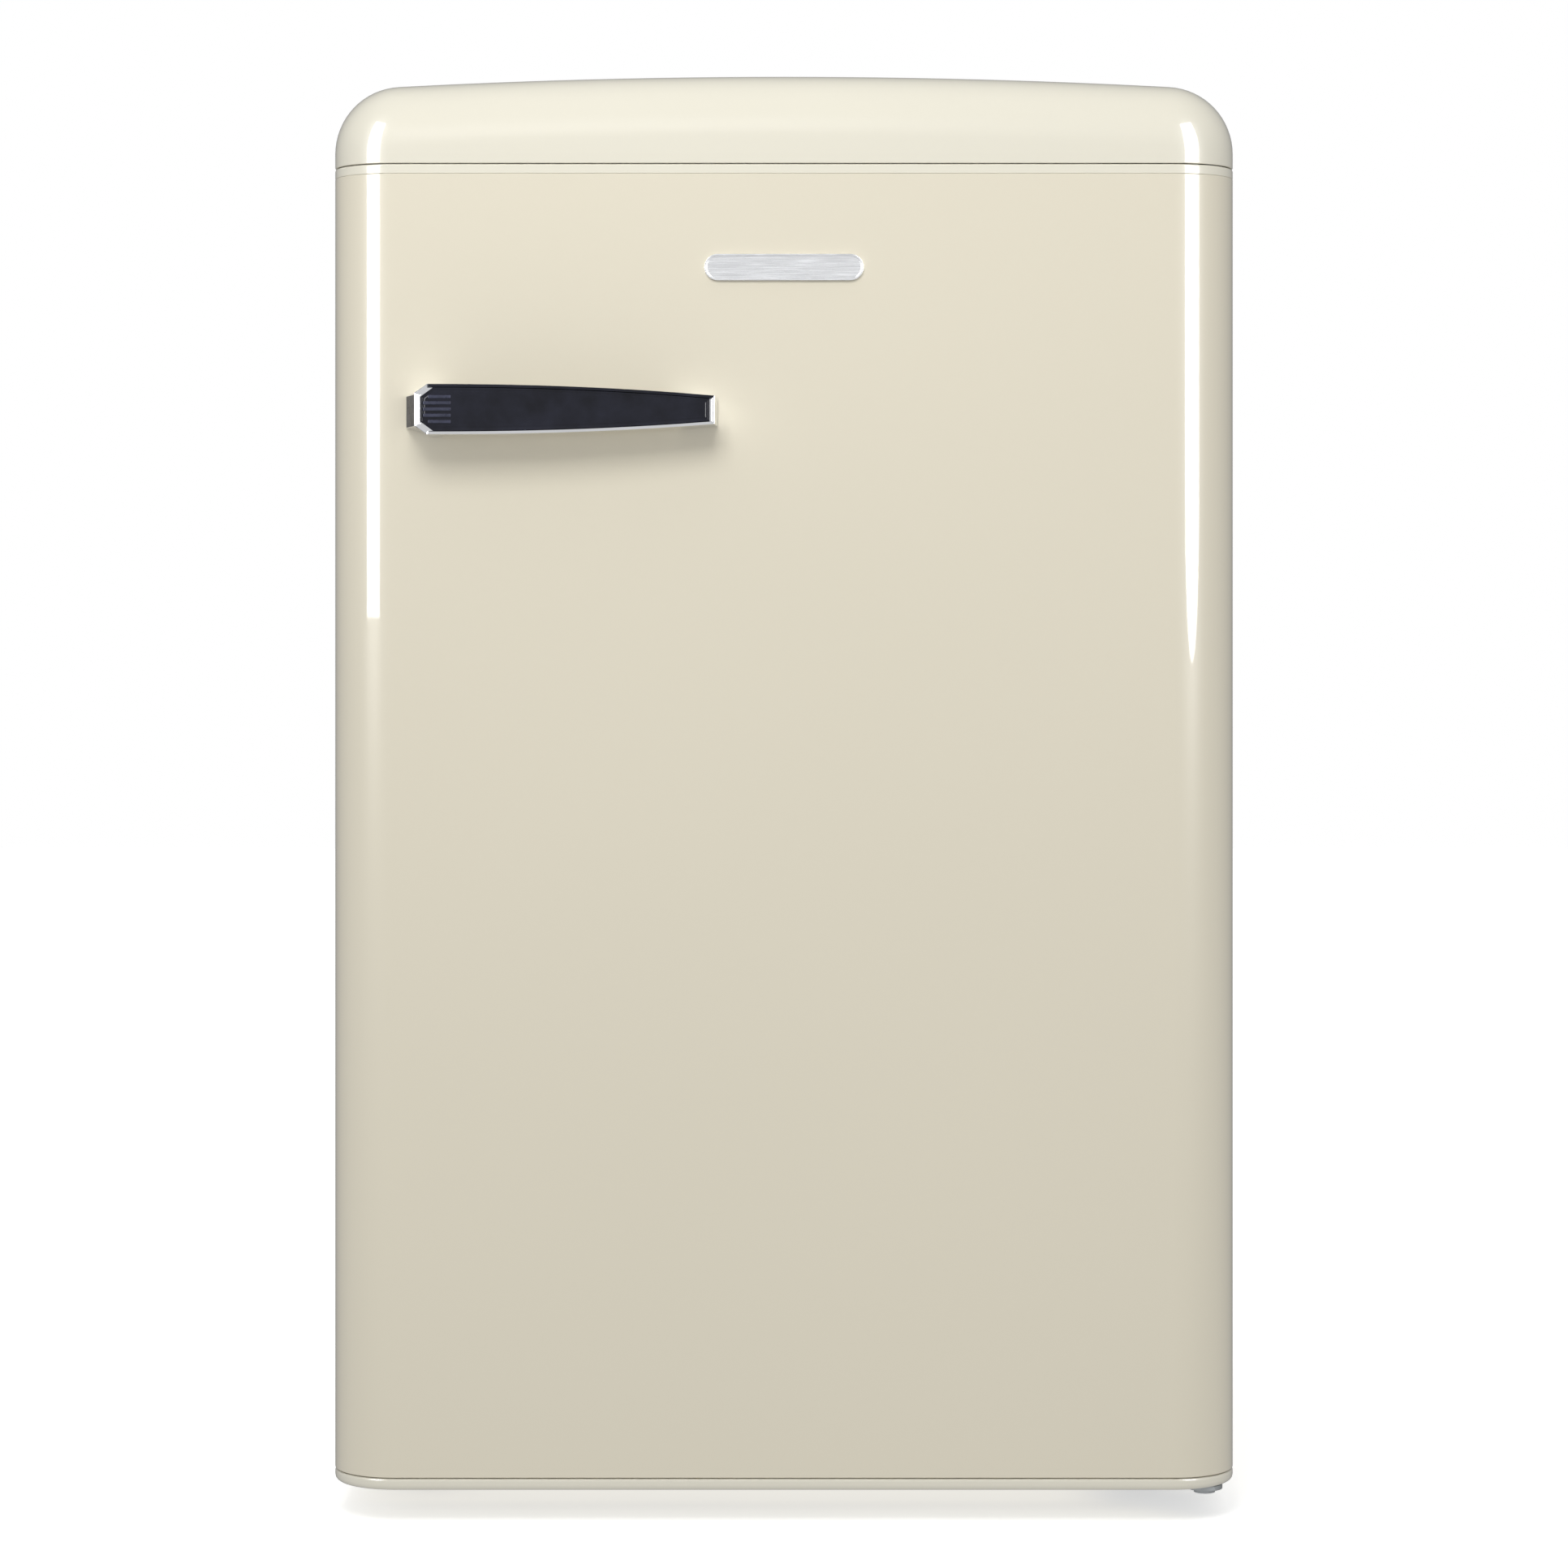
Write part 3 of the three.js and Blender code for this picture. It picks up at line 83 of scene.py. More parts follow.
for name in {"Cube", "Camera", "Light"} & set(bpy.data.objects.keys()):
    bpy.data.objects.remove(bpy.data.objects[name])  # what an untouched scene starts with
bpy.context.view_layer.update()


# ---------------------------------------------------------------- sizes and colours


def length(name, description, default):
    """A size in metres."""
    return FloatProperty(
        name=name, description=description, default=default, min=0, precision=4,
        subtype="DISTANCE", unit="LENGTH",
    )


def amount(name, description, default, least=0):
    """A number without a unit, a strength or a power."""
    return FloatProperty(name=name, description=description, default=default, min=least)


def count(name, description, default, least=1):
    """A whole number."""
    return IntProperty(name=name, description=description, default=default, min=least)


def colour(name, description, default):
    """A colour of three parts, in linear light."""
    return FloatVectorProperty(
        name=name, description=description, default=default, size=3, min=0, max=1, subtype="COLOR"
    )


class RefrigeratorSizes(bpy.types.PropertyGroup):
    """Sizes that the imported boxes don't hold."""

    edge_radius: length("Edge radius", "Roundness of the door's upright front edges", 40 * MM)
    corner_extra: length("Cap corner extra", "How much rounder the cap's corners are", 1.5 * MM)
    crown_radius: length("Crown radius", "Radius of the cap's slight arch", 4.46)
    cap_wall: length("Cap wall", "Thickness of the moulded cap", 2.5 * MM)
    sheet: length("Sheet", "Thickness of the steel sheet", 1 * MM)
    roll: length("Rolled edge", "Roundness of the door's upper and lower edges", 1.2 * MM)
    joint_roll: length("Joint edge", "Roundness where the door's lips meet its panel", 0.4 * MM)
    lip_rise: length("Lip rise", "How far the upper lip closes the seam below the cap", 0.75 * MM)
    bead_top_roll: length("Bead top roll", "Roundness over the door's lower bead", 2 * MM)
    bead_roll: length("Bead roll", "Roundness under the door's lower bead", 3.4 * MM)
    liner_wall: length("Liner wall", "Thickness of the formed liner", 2 * MM)
    liner_round: length("Liner rounding", "Roundness of the liner's inner edges", 12 * MM)
    ridge_round: length("Ridge rounding", "Roundness of the door liner's raised frame", 7 * MM)
    ridge_width: length("Ridge width", "Width of the door liner's raised frame", 26 * MM)
    ridge_height: length("Ridge height", "Height of the door liner's raised frame", 32 * MM)
    toe_height: length("Toe field", "Height of the door liner's low raised field", 5 * MM)
    ledge_depth: length("Ledge depth", "How far a shelf ledge stands out", 7 * MM)
    ledge_height: length("Ledge height", "Height of a shelf ledge", 5 * MM)
    tray_wall: length("Tray wall", "Wall of the drawer and balconies", 2.2 * MM)
    tray_round: length("Tray rounding", "Roundness of the drawer and balconies", 9 * MM)
    handle_rim: length("Handle rim", "Chrome border of the handle", 1.8 * MM)
    handle_end: length("Handle end band", "Chrome band at the handle's outer end", 3.6 * MM)
    handle_bar: length("Handle bar", "Thickness of the handle's bar", 11 * MM)
    handle_post: length("Handle post", "Length of each post of the handle", 22 * MM)
    handle_fall: length("Handle fall", "How far the bar falls back to its inner end", 8 * MM)
    taper: amount("Taper", "Power of the curve from the tall end to the low one", 2.2)
    handle_slope: length("Outer end slope", "How far the handle's outer end slopes", 8 * MM)
    inner_slope: length("Inner end slope", "How far the handle's inner end slopes", 1.2 * MM)
    inner_end_band: length("Inner end band", "Chrome band at the handle's inner end", 2.8 * MM)
    end_band_fall: length("End band fall", "How far the outer end band falls back", 1.35 * MM)
    chamfer_x: length("Chamfer, across", "Cut of the outer end's corners, sideways", 7.8 * MM)
    chamfer_z: length("Chamfer, up", "Cut of the outer end's corners, upwards", 5.4 * MM)
    inner_end: length("Handle inner end", "Height of the handle at its inner end", 17 * MM)
    grips: count("Grips", "Ribs at the handle's outer end", 5)
    grip_pitch: length("Grip pitch", "From one rib of the handle to the next", 3.7 * MM)
    condenser_runs: count("Condenser runs", "Level runs of the condenser", 9, 2)
    condenser_tube: length("Condenser tube", "Diameter of the condenser's tube", 5 * MM)
    condenser_tail: length("Condenser tail", "Length of tube below the lowest run", 20 * MM)
    wires: count("Condenser wires", "Upright wires on the condenser", 46, 2)
    wire: length("Wire", "Diameter of a condenser wire", 1.5 * MM)
    pipe: length("Pipe radius", "Radius of the copper pipes", 3 * MM)
    capillary: length("Capillary radius", "Radius of the capillary tube", 1.5 * MM)
    bend: length("Bend", "Radius of a bend in the copper pipes", 14 * MM)
    drier_top: length("Drier top", "Height of the filter drier's upper end", 172 * MM)
    drier_length: length("Drier length", "Length of the filter drier's can", 84 * MM)
    drier_radius: length("Drier radius", "Radius of the filter drier's can", 9 * MM)
    capillary_top: length("Capillary top", "Where the capillary enters the wall", 214.7 * MM)


class RefrigeratorColours(bpy.types.PropertyGroup):
    """Colours of the finishes, in linear light."""

    cream: colour("Cream", "Enamel of the door and cabinet", (0.72, 0.67, 0.54))
    cap: colour("Cap cream", "Gloss moulding of the top cap", (0.74, 0.71, 0.60))
    white: colour("White", "Liner and other white mouldings", (0.90, 0.905, 0.895))
    seal: colour("Seal", "Soft door seal", (0.47, 0.46, 0.44))
    handle: colour("Handle face", "Glossy dark face of the handle", (0.006, 0.0065, 0.011))
    chrome: colour("Chrome", "Plated handle frame", (0.83, 0.84, 0.86))
    zinc: colour("Zinc", "Galvanised steel", (0.42, 0.44, 0.45))
    black: colour("Black", "Black mouldings and lacquer", (0.012, 0.012, 0.013))
    copper: colour("Copper", "Pipes of the cooling circuit", (0.72, 0.33, 0.19))
    foam: colour("Foam", "Rigid insulation", (0.70, 0.57, 0.28))
    glass: colour("Glass", "Shelf glass, seen through its thickness", (0.90, 0.97, 0.945))
    clear: colour("Clear plastic", "Drawer and balconies", (0.972, 0.985, 0.988))
    floor: colour("Floor", "Plain pale floor", (0.90, 0.90, 0.895))


class RefrigeratorStage(bpy.types.PropertyGroup):
    """Camera, floor and lights."""

    distance: length("Camera distance", "From the camera to the door's front", 2.45)
    eye: length("Eye height", "Height of the camera", 0.547)
    lens: amount("Lens", "Focal length in mm", 93.2, 20)
    shift: FloatProperty(
        name="Shift", description="Upright shift of the picture", default=-0.1044, min=-0.5, max=0.5
    )
    floor_size: length("Floor size", "Side of the square floor", 14)
    sky: amount("Sky", "Strength of the even white light", 0.65)
    dim: amount("Reflected sky", "Strength of the surround in reflections", 0.7)
    top: amount("Top light", "Power of the overhead light", 5)
    front: amount("Front light", "Power of the raised front light", 11.5)
    strips: amount("Strip lights", "Power of the two tall strip lights", 42)


# Lights that are seen in no gloss. A light is (name, place, aim, width, height, its power).
PLAIN_LIGHTS = (
    ("overhead_light", (0, -0.35, 2.7), (0, 0, 0.5), 2.6, 2.2, "top"),
    ("front_light", (-0.2, -1.55, 1.42), (0, -0.27, 0.72), 0.7, 0.6, "front"),
)
# Tall lights, seen in the gloss only, that stand round the door's front. A strip is (name,
# bearing in degrees, width, foot, head, shape, share of the strips' power).
STRIP_LIGHTS = (
    ("left_strip", -49.7, 0.6, 0.55, 2.3, "RECTANGLE", 1),
    ("right_strip", 45.3, 0.66, 0.656, 2.3, "RECTANGLE", 1),
    ("right_strip_tip", 45.3, 0.66, 0.507, 0.805, "ELLIPSE", 1 / 8),
)
STRIP_REACH = 1.6  # from the door's front to a strip
STRIP_CENTRE_Y = -0.24
REAR_DIM = 0.4  # share of the reflected sky that is left towards the back


# ---------------------------------------------------------------- picking and shaping


def deselect():
    """Leaves edit mode and deselects everything."""
    if bpy.context.mode != "OBJECT":
        bpy.ops.object.mode_set(mode="OBJECT")
    bpy.ops.object.select_all(action="DESELECT")


def take(piece, *others):
    """Makes piece active, selected alone or with others."""
    deselect()
    for each in (*others, piece):
        each.select_set(True)
    bpy.context.view_layer.objects.active = piece
    return piece


def settle(name):
    """Names the new piece and moves its place and size into its mesh."""
    piece = bpy.context.object
    piece.name = piece.data.name = name
    bpy.ops.object.transform_apply(location=True, rotation=True, scale=True)
    return piece


@contextmanager
def shaping(piece):
    """Edit mode on one piece, with nothing picked yet."""
    take(piece)
    bpy.ops.object.mode_set(mode="EDIT")
    bpy.ops.mesh.select_mode(type="FACE")
    bpy.ops.mesh.select_all(action="DESELECT")
    yield
    bpy.ops.object.mode_set(mode="OBJECT")


def picking(kind):
    """Clears what is picked and returns the mesh to pick from."""
    bpy.ops.mesh.select_mode(type=kind)
    bpy.ops.mesh.select_all(action="DESELECT")
    return bmesh.from_edit_mesh(bpy.context.edit_object.data)


def pick_all():
    """Picks the whole mesh."""
    bpy.ops.mesh.select_all(action="SELECT")


def pick_faces(test):
    """Picks the faces whose middle and direction pass the test."""
    for face in picking("FACE").faces:
        if test(face.calc_center_median(), face.normal):
            face.select_set(True)
    bmesh.update_edit_mesh(bpy.context.edit_object.data)


def pick_facing(direction):
    """Picks the faces that look in a direction."""
    pick_faces(lambda at, way: way.dot(direction) > 0.9)


def pick_edges(test):
    """Picks the edges whose two ends pass the test."""
    for edge in picking("EDGE").edges:
        if test(edge.verts[0].co, edge.verts[1].co):
            edge.select_set(True)
    bmesh.update_edit_mesh(bpy.context.edit_object.data)


def pick_corners(test):
    """Picks the corners whose place passes the test."""
    for corner in picking("VERT").verts:
        if test(corner.co):
            corner.select_set(True)
    bmesh.update_edit_mesh(bpy.context.edit_object.data)


def near(a, b, within=1e-5):
    """True where two lengths agree, to a hundredth of a millimetre if nothing else is said."""
    return abs(a - b) < within


def bevel(width, segments, corners=False):
    """Rounds the picked edges, or the picked corners of a line."""
    bpy.ops.mesh.bevel(
        offset=width, segments=segments, profile=0.5, clamp_overlap=False,
        affect="VERTICES" if corners else "EDGES",
    )


def extrude(step):
    """Extrudes what is picked by a step."""
    bpy.ops.mesh.extrude_region_move(TRANSFORM_OT_translate={"value": step})


def shift(step):
    """Moves what is picked by a step."""
    bpy.ops.transform.translate(value=step)


def stretch(factors, centre):
    """Stretches what is picked about a point."""
    bpy.ops.transform.resize(value=factors, center_override=centre)


def inset(width, rise=0):
    """Insets the picked faces, and raises them."""
    bpy.ops.mesh.inset(thickness=width, depth=rise)


def delete_faces():
    """Deletes the picked faces."""
    bpy.ops.mesh.delete(type="FACE")


def outwards():
    """Turns every face of the piece in edit mode outwards, doubles merged first."""
    pick_all()
    bpy.ops.mesh.remove_doubles(threshold=1e-6)
    bpy.ops.mesh.normals_make_consistent(inside=False)


def cut(piece, axis, *places):
    """Adds an edge right round a piece wherever a plane across the axis meets it."""
    with shaping(piece):
        for place in places:
            pick_all()
            bpy.ops.mesh.bisect(plane_co=axis * place, plane_no=axis)


def modify(piece, kind, **settings):
    """Adds a modifier with these settings and applies it."""
    take(piece)
    bpy.ops.object.modifier_add(type=kind)
    modifier = piece.modifiers[-1]
    for key, value in settings.items():
        setattr(modifier, key, value)
    bpy.ops.object.modifier_apply(modifier=modifier.name)


def thicken(piece, wall):
    """Gives a skin its wall, on the side away from its faces."""
    modify(piece, "SOLIDIFY", thickness=wall, offset=-1, use_even_offset=True)


def soften(piece, width, segments=2, degrees=35):
    """Rounds every edge sharper than an angle."""
    modify(
        piece, "BEVEL", width=width, segments=segments, limit_method="ANGLE",
        angle_limit=math.radians(degrees), harden_normals=False,
    )


def smooth(piece, degrees=35):
    """Shades a piece smooth, with flat faces kept flat."""
    take(piece)
    bpy.ops.object.shade_smooth_by_angle(angle=math.radians(degrees))
    modify(piece, "WEIGHTED_NORMAL", keep_sharp=True, weight=60)


def subtract(piece, tool):
    """Cuts a tool's shape out of a piece and removes the tool."""
    modify(piece, "BOOLEAN", operation="DIFFERENCE", object=tool, solver="EXACT")
    bpy.data.objects.remove(tool)


def join(piece, *others):
    """Joins others into a piece."""
    take(piece, *others)
    bpy.ops.object.join()
    return piece


def copy(piece, name, step=(0, 0, 0)):
    """A copy with its own mesh, moved by a step."""
    take(piece)
    bpy.ops.object.duplicate()
    shift(step)
    return settle(name)


def softened(node, name, width, segments=2, degrees=35):
    """A merged copy of a CAD node with its edges rounded."""
    take(frame["nodes"][node])
    bpy.ops.object.duplicate()
    piece = bpy.context.object
    piece.parent = None
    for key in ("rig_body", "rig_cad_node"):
        del piece[key]
    settle(name)
    with shaping(piece):
        pick_all()
        bpy.ops.mesh.remove_doubles(threshold=1e-5)
        bpy.ops.mesh.dissolve_limited(angle_limit=math.radians(1))
    soften(piece, width, segments, degrees)
    smooth(piece, degrees)
    return piece


# ---------------------------------------------------------------- starting shapes


def add_block(name, low, high):
    """A block between two corners."""
    deselect()
    low, high = Vector(low), Vector(high)
    bpy.ops.mesh.primitive_cube_add(size=1, location=(low + high) / 2, scale=high - low)
    return settle(name)


def add_soft_block(name, low, high, width, segments):
    """A block with rounded edges."""
    block = add_block(name, low, high)
    soften(block, width, segments)
    return block


def pair(side, near_x, far_x):
    """Two places on one side of the middle, the lower first."""
    return sorted((side * near_x, side * far_x))


def add_rod(name, axis, start, end, radius, sides=32):
    """A round bar between two points on a line along an axis."""
    deselect()
    start, end = Vector(start), Vector(end)
    turn = Z.rotation_difference(axis).to_euler()
    bpy.ops.mesh.primitive_cylinder_add(
        vertices=sides, radius=radius, depth=(end - start).length,
        location=(start + end) / 2, rotation=turn,
    )
    return settle(name)


class Line:
    """Draws a line corner by corner and arc by arc."""

    def __init__(self, name, start):
        deselect()
        bpy.ops.mesh.primitive_plane_add(size=10 * MM, location=start)
        self.piece = settle(name)
        bpy.ops.object.mode_set(mode="EDIT")
        bpy.ops.mesh.select_mode(type="VERT")
        pick_all()
        bpy.ops.mesh.merge(type="CENTER")
        self.at = Vector(start)

    def to(self, *points):
        """Goes straight to each point in turn."""
        for point in points:
            step = Vector(point) - self.at
            bpy.ops.mesh.extrude_vertices_move(TRANSFORM_OT_translate={"value": step})
            self.at = Vector(point)

    def arc(self, centre, axis, degrees, steps):
        """Goes round a centre, anticlockwise about the axis."""
        turn = math.radians(degrees)
        bpy.ops.mesh.spin(steps=steps, angle=-turn, center=centre, axis=axis)
        self.at = Matrix.Rotation(turn, 3, axis) @ (self.at - Vector(centre)) + Vector(centre)

    def open(self):
        """Ends the line and returns it."""
        pick_all()
        bpy.ops.mesh.remove_doubles(threshold=1e-6)
        bpy.ops.object.mode_set(mode="OBJECT")
        return self.piece

    def raised(self, step):
        """Closes the line, fills it and extrudes it to a solid."""
        pick_all()
        bpy.ops.mesh.remove_doubles(threshold=1e-6)
        pick_all()
        bpy.ops.mesh.edge_face_add()
        extrude(step)
        outwards()
        bpy.ops.object.mode_set(mode="OBJECT")
        return self.piece


def add_turned(name, centre, profile, sides=48, axis=Z):
    """A turned piece. The profile is (radius, height along the axis) from one end to the other."""
    centre = Vector(centre)
    across = X if axis != X else Y
    points = [centre + across * r + axis * h for r, h in profile]
    line = Line(name, points[0])
    line.to(*points[1:])
    pick_all()
    bpy.ops.mesh.spin(steps=sides, angle=math.tau, center=centre, axis=axis)
    pick_all()
    bpy.ops.mesh.remove_doubles(threshold=1e-5)
    bpy.ops.mesh.dissolve_degenerate(threshold=1e-6)
    outwards()
    bpy.ops.object.mode_set(mode="OBJECT")
    return line.piece


def round_corners(line, corners, bend, steps, merged):
    """Rounds a line at its corners, and merges what then meets."""
    corners = [Vector(corner) for corner in corners]
    with shaping(line):
        pick_corners(lambda at: any((at - corner).length < 1e-5 for corner in corners))
        bevel(bend, steps, corners=True)
        pick_all()
        bpy.ops.mesh.remove_doubles(threshold=merged)


def thicken_line(line, radius, resolution):
    """Makes a line a round tube with closed ends."""
    take(line)
    bpy.ops.object.convert(target="CURVE")
    tube = bpy.context.object
    tube.data.bevel_depth = radius
    tube.data.bevel_resolution = resolution
    tube.data.use_fill_caps = True
    bpy.ops.object.convert(target="MESH")
    tube = bpy.context.object
    with shaping(tube):
        outwards()
    return tube


def sector(step):
    """Which 5 degrees round an upright line a step from it points to."""
    return int(math.degrees(math.atan2(step.y, step.x)) // 5)


def core(node):
    """The middle of a node's box and half its width."""
    low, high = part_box(node)
    return (low + high) / 2, (high.x - low.x) / 2


def add_tube(name, points, radius, bend, resolution=3):
    """A round tube along straight runs, with a bend at each corner."""
    line = Line(name, points[0])
    line.to(*points[1:])
    tube = line.open()
    round_corners(tube, points[1:-1], bend, 7, 2e-5)
    tube = thicken_line(tube, radius, resolution)
    smooth(tube)
    return tube


def add_ring(name, y0, y1, outer, inner):
    """A rectangular frame seen from the front. outer and inner are (x0, z0, x1, z1)."""
    ring = add_block(name, (outer[0], y0, outer[1]), (outer[2], y1, outer[3]))
    cut(ring, X, inner[0], inner[2])
    cut(ring, Z, inner[1], inner[3])
    with shaping(ring):
        pick_faces(
            lambda at, way: abs(way.y) > 0.9
            and inner[0] < at.x < inner[2] and inner[1] < at.z < inner[3]
        )
        bpy.ops.mesh.bridge_edge_loops()
        outwards()
    return ring


def fuse(piece, *parts):
    """Melts parts into a piece, so that they share one skin."""
    for part in parts:
        modify(piece, "BOOLEAN", operation="UNION", object=part, solver="EXACT")
        bpy.data.objects.remove(part)


def add_tray(name, low, high, wall, rounding):
    """A tray with rounded edges, open at the top."""
    rim = Vector(high).z
    tray = add_block(name, low, high)
    with shaping(tray):
        pick_facing(Z)
        delete_faces()
        pick_edges(lambda a, b: not (near(a.z, rim) and near(b.z, rim)))
        bevel(rounding, 5)
    thicken(tray, wall)
    return tray


def place(piece, body, slot, finish, *nodes):
    """Gives a piece its finish and body, and lets it stand for its CAD nodes."""
    if not piece.data.materials:
        piece.data.materials.append(None)
    piece.data.materials[0] = FINISHES[finish]
    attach(piece, body)
    if nodes:
        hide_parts(*nodes)


def complete(piece, body, slot, finish, *nodes, degrees=35):
    """Shades a piece smooth and places it."""
    smooth(piece, degrees)
    place(piece, body, slot, finish, *nodes)


def dress(node, name, width, segments, body, slot, finish):
    """Places a softened copy of a CAD node."""
    place(softened(node, name, width, segments), body, slot, finish, node)


# ---------------------------------------------------------------- finishes


class Finish:
    """A material being made: a shader, and patterns placed on the piece itself."""

    def __init__(self, name, **values):
        self.material = bpy.data.materials.new(name)
        self.material.use_nodes = True
        self.nodes = self.material.node_tree.nodes
        self.links = self.material.node_tree.links
        self.shader = self.nodes["Principled BSDF"]
        for label, value in values.items():
            self.shader.inputs[label.replace("_", " ")].default_value = value
        self.place = self.nodes.new("ShaderNodeTexCoord").outputs["Object"]

    def node(self, kind, **links):
        """A node whose named inputs are linked or set."""
        made = self.nodes.new(kind)
        for label, value in links.items():
            self.feed(value, made.inputs[label.replace("_", " ")])
        return made

    def feed(self, value, socket):
        """Links a socket to another node's output, or sets it."""
        if isinstance(value, bpy.types.NodeSocket):
            self.links.new(value, socket)
        else:
            socket.default_value = value

    def stretched(self, sizes):
        """The piece's coordinates, stretched along its axes."""
        return self.node("ShaderNodeMapping", Vector=self.place, Scale=sizes).outputs["Vector"]

    def noise(self, scale, detail=3, stretch=(1, 1, 1)):
        """Soft random variation, about 1 / scale metres across."""
        where = self.stretched(stretch)
        made = self.node("ShaderNodeTexNoise", Vector=where, Scale=scale, Detail=detail)
        return made.outputs["Fac"]

    def cells(self, scale):
        """Random cells: their colour and the distance to their middles."""
        where = self.stretched((1, 1, 1))
        return self.node("ShaderNodeTexVoronoi", Vector=where, Scale=scale).outputs

    def between(self, value, low, high, source=(0.3, 0.7)):
        """A value brought from one range to another."""
        made = self.node(
            "ShaderNodeMapRange", Value=value, From_Min=source[0], From_Max=source[1],
            To_Min=low, To_Max=high,
        )
        return made.outputs["Result"]

    def blend(self, share, first, second):
        """A colour between two others."""
        made = self.nodes.new("ShaderNodeMix")
        made.data_type = "RGBA"
        self.feed(share, made.inputs["Factor"])
        self.feed(first, made.inputs[6])
        self.feed(second, made.inputs[7])
        return made.outputs[2]

    def colour(self, share, first, second):
        """Colours the surface between two tones by a pattern."""
        self.links.new(
            self.blend(share, (*first, 1), (*second, 1)), self.shader.inputs["Base Color"]
        )

    def rough(self, pattern, low, high, source=(0.3, 0.7)):
        """Varies how rough the surface is."""
        self.links.new(self.between(pattern, low, high, source), self.shader.inputs["Roughness"])

    def relief(self, pattern, depth, strength=1.0):
        """Raises the surface by a pattern, and adds to any relief given before."""
        made = self.node("ShaderNodeBump", Height=pattern, Distance=depth, Strength=strength)
        socket = self.shader.inputs["Normal"]
        if socket.is_linked:
            self.links.new(socket.links[0].from_socket, made.inputs["Normal"])
        self.links.new(made.outputs["Normal"], socket)


def shade(tone, factor):
    """A lighter or darker colour."""
    return tuple(min(1.0, part * factor) for part in tone)


def noisy(name, tone, tones, gloss, reliefs=(), gloss_range=(0.3, 0.7), **values):
    """A finish with noise in its colour, its gloss and its relief.

    tones is (scale, detail, darkest share, lightest share), gloss is (scale, detail, lowest,
    highest roughness) and a relief is (scale, detail, depth in mm, strength). The noise's
    stretch may follow in each.
    """
    made = Finish(name, **values)
    scale, detail, dark, light, *stretch = tones
    pattern = made.between(made.noise(scale, detail, *stretch), 0, 1)
    made.colour(pattern, shade(tone, dark), shade(tone, light))
    scale, detail, low, high, *stretch = gloss
    made.rough(made.noise(scale, detail, *stretch), low, high, gloss_range)
    for scale, detail, depth, strength, *stretch in reliefs:
        made.relief(made.noise(scale, detail, *stretch), depth * MM, strength)
    return made


def black_plastic(tone):
    """Black moulding with a fine spark-eroded grain."""
    made = noisy("black_moulding", tone, (14, 5, 1, 1.9), (90, 3, 0.42, 0.62), IOR=1.5)
    made.relief(made.cells(1100)["Distance"], 0.05 * MM, 0.6)
    return made


def ribbed_dark(tone):
    """Dark plating with fine upright lines, on the handle's sloping end."""
    made = noisy(
        "ribbed_dark", tone, (80, 3, 2.5, 5), (200, 2, 0.14, 0.24),
        IOR=1.25, Specular_IOR_Level=0.15,
    )
    wave = made.node("ShaderNodeTexWave", Vector=made.place, Scale=160)
    wave.bands_direction = "Y"
    made.relief(wave.outputs["Fac"], 0.25 * MM, 0.7)
    return made


def zinc_steel(tone):
    """Hot-dip galvanised sheet: large spangles, dull and bright."""
    made = Finish("galvanised_steel", Metallic=1)
    spangle = made.cells(95)
    grey = made.node("ShaderNodeSeparateColor", Color=spangle["Color"]).outputs["Red"]
    made.colour(made.between(grey, 0, 1, (0, 1)), shade(tone, 0.78), shade(tone, 1.2))
    made.rough(grey, 0.36, 0.56, (0, 1))
    made.relief(made.noise(420, 4), 0.02 * MM, 0.4)
    return made


def worn(name, tone, patch, spots, spots_range, gloss, relief, **values):
    """A finish with patches of another colour."""
    made = Finish(name, **values)
    made.colour(made.between(made.noise(spots, 6), 0, 1, spots_range), tone, patch)
    made.rough(made.noise(gloss[0], 4), *gloss[1:])
    made.relief(made.noise(relief[0], 3), relief[1] * MM, 0.5)
    return made


def rigid_foam(tone):
    """Cut polyurethane foam with fine cells."""
    made = Finish("rigid_foam", IOR=1.4)
    made.colour(made.cells(420)["Distance"], shade(tone, 1.08), shade(tone, 0.7))
    made.rough(made.noise(60, 3), 0.86, 0.98)
    made.relief(made.cells(420)["Distance"], 0.5 * MM, 0.8)
    return made


# Thick baked enamel: a deep gloss over a faint orange peel.
ENAMEL = {
    "tones": (2.2, 2, 0.99, 1.01), "gloss": (1.5, 1, 0.28, 0.30),
    "reliefs": ((380, 1, 0.008, 0.25),), "Coat_Weight": 1, "Coat_Roughness": 0.025,
    "Coat_IOR": 1.5, "IOR": 1.48, "Specular_IOR_Level": 0.35,
}
# Dull soft rubber with a little bloom.
RUBBER = {
    "tones": (14, 3, 0.95, 1.05), "gloss": (120, 3, 0.62, 0.82),
    "reliefs": ((900, 3, 0.04, 0.5),), "IOR": 1.48, "Sheen_Weight": 0.15, "Sheen_Roughness": 0.6,
}
ALUMINIUM = (0.62, 0.63, 0.64)
WORN_LACQUER = (0.03, 0.029, 0.027)
TARNISH = (0.30, 0.13, 0.075)


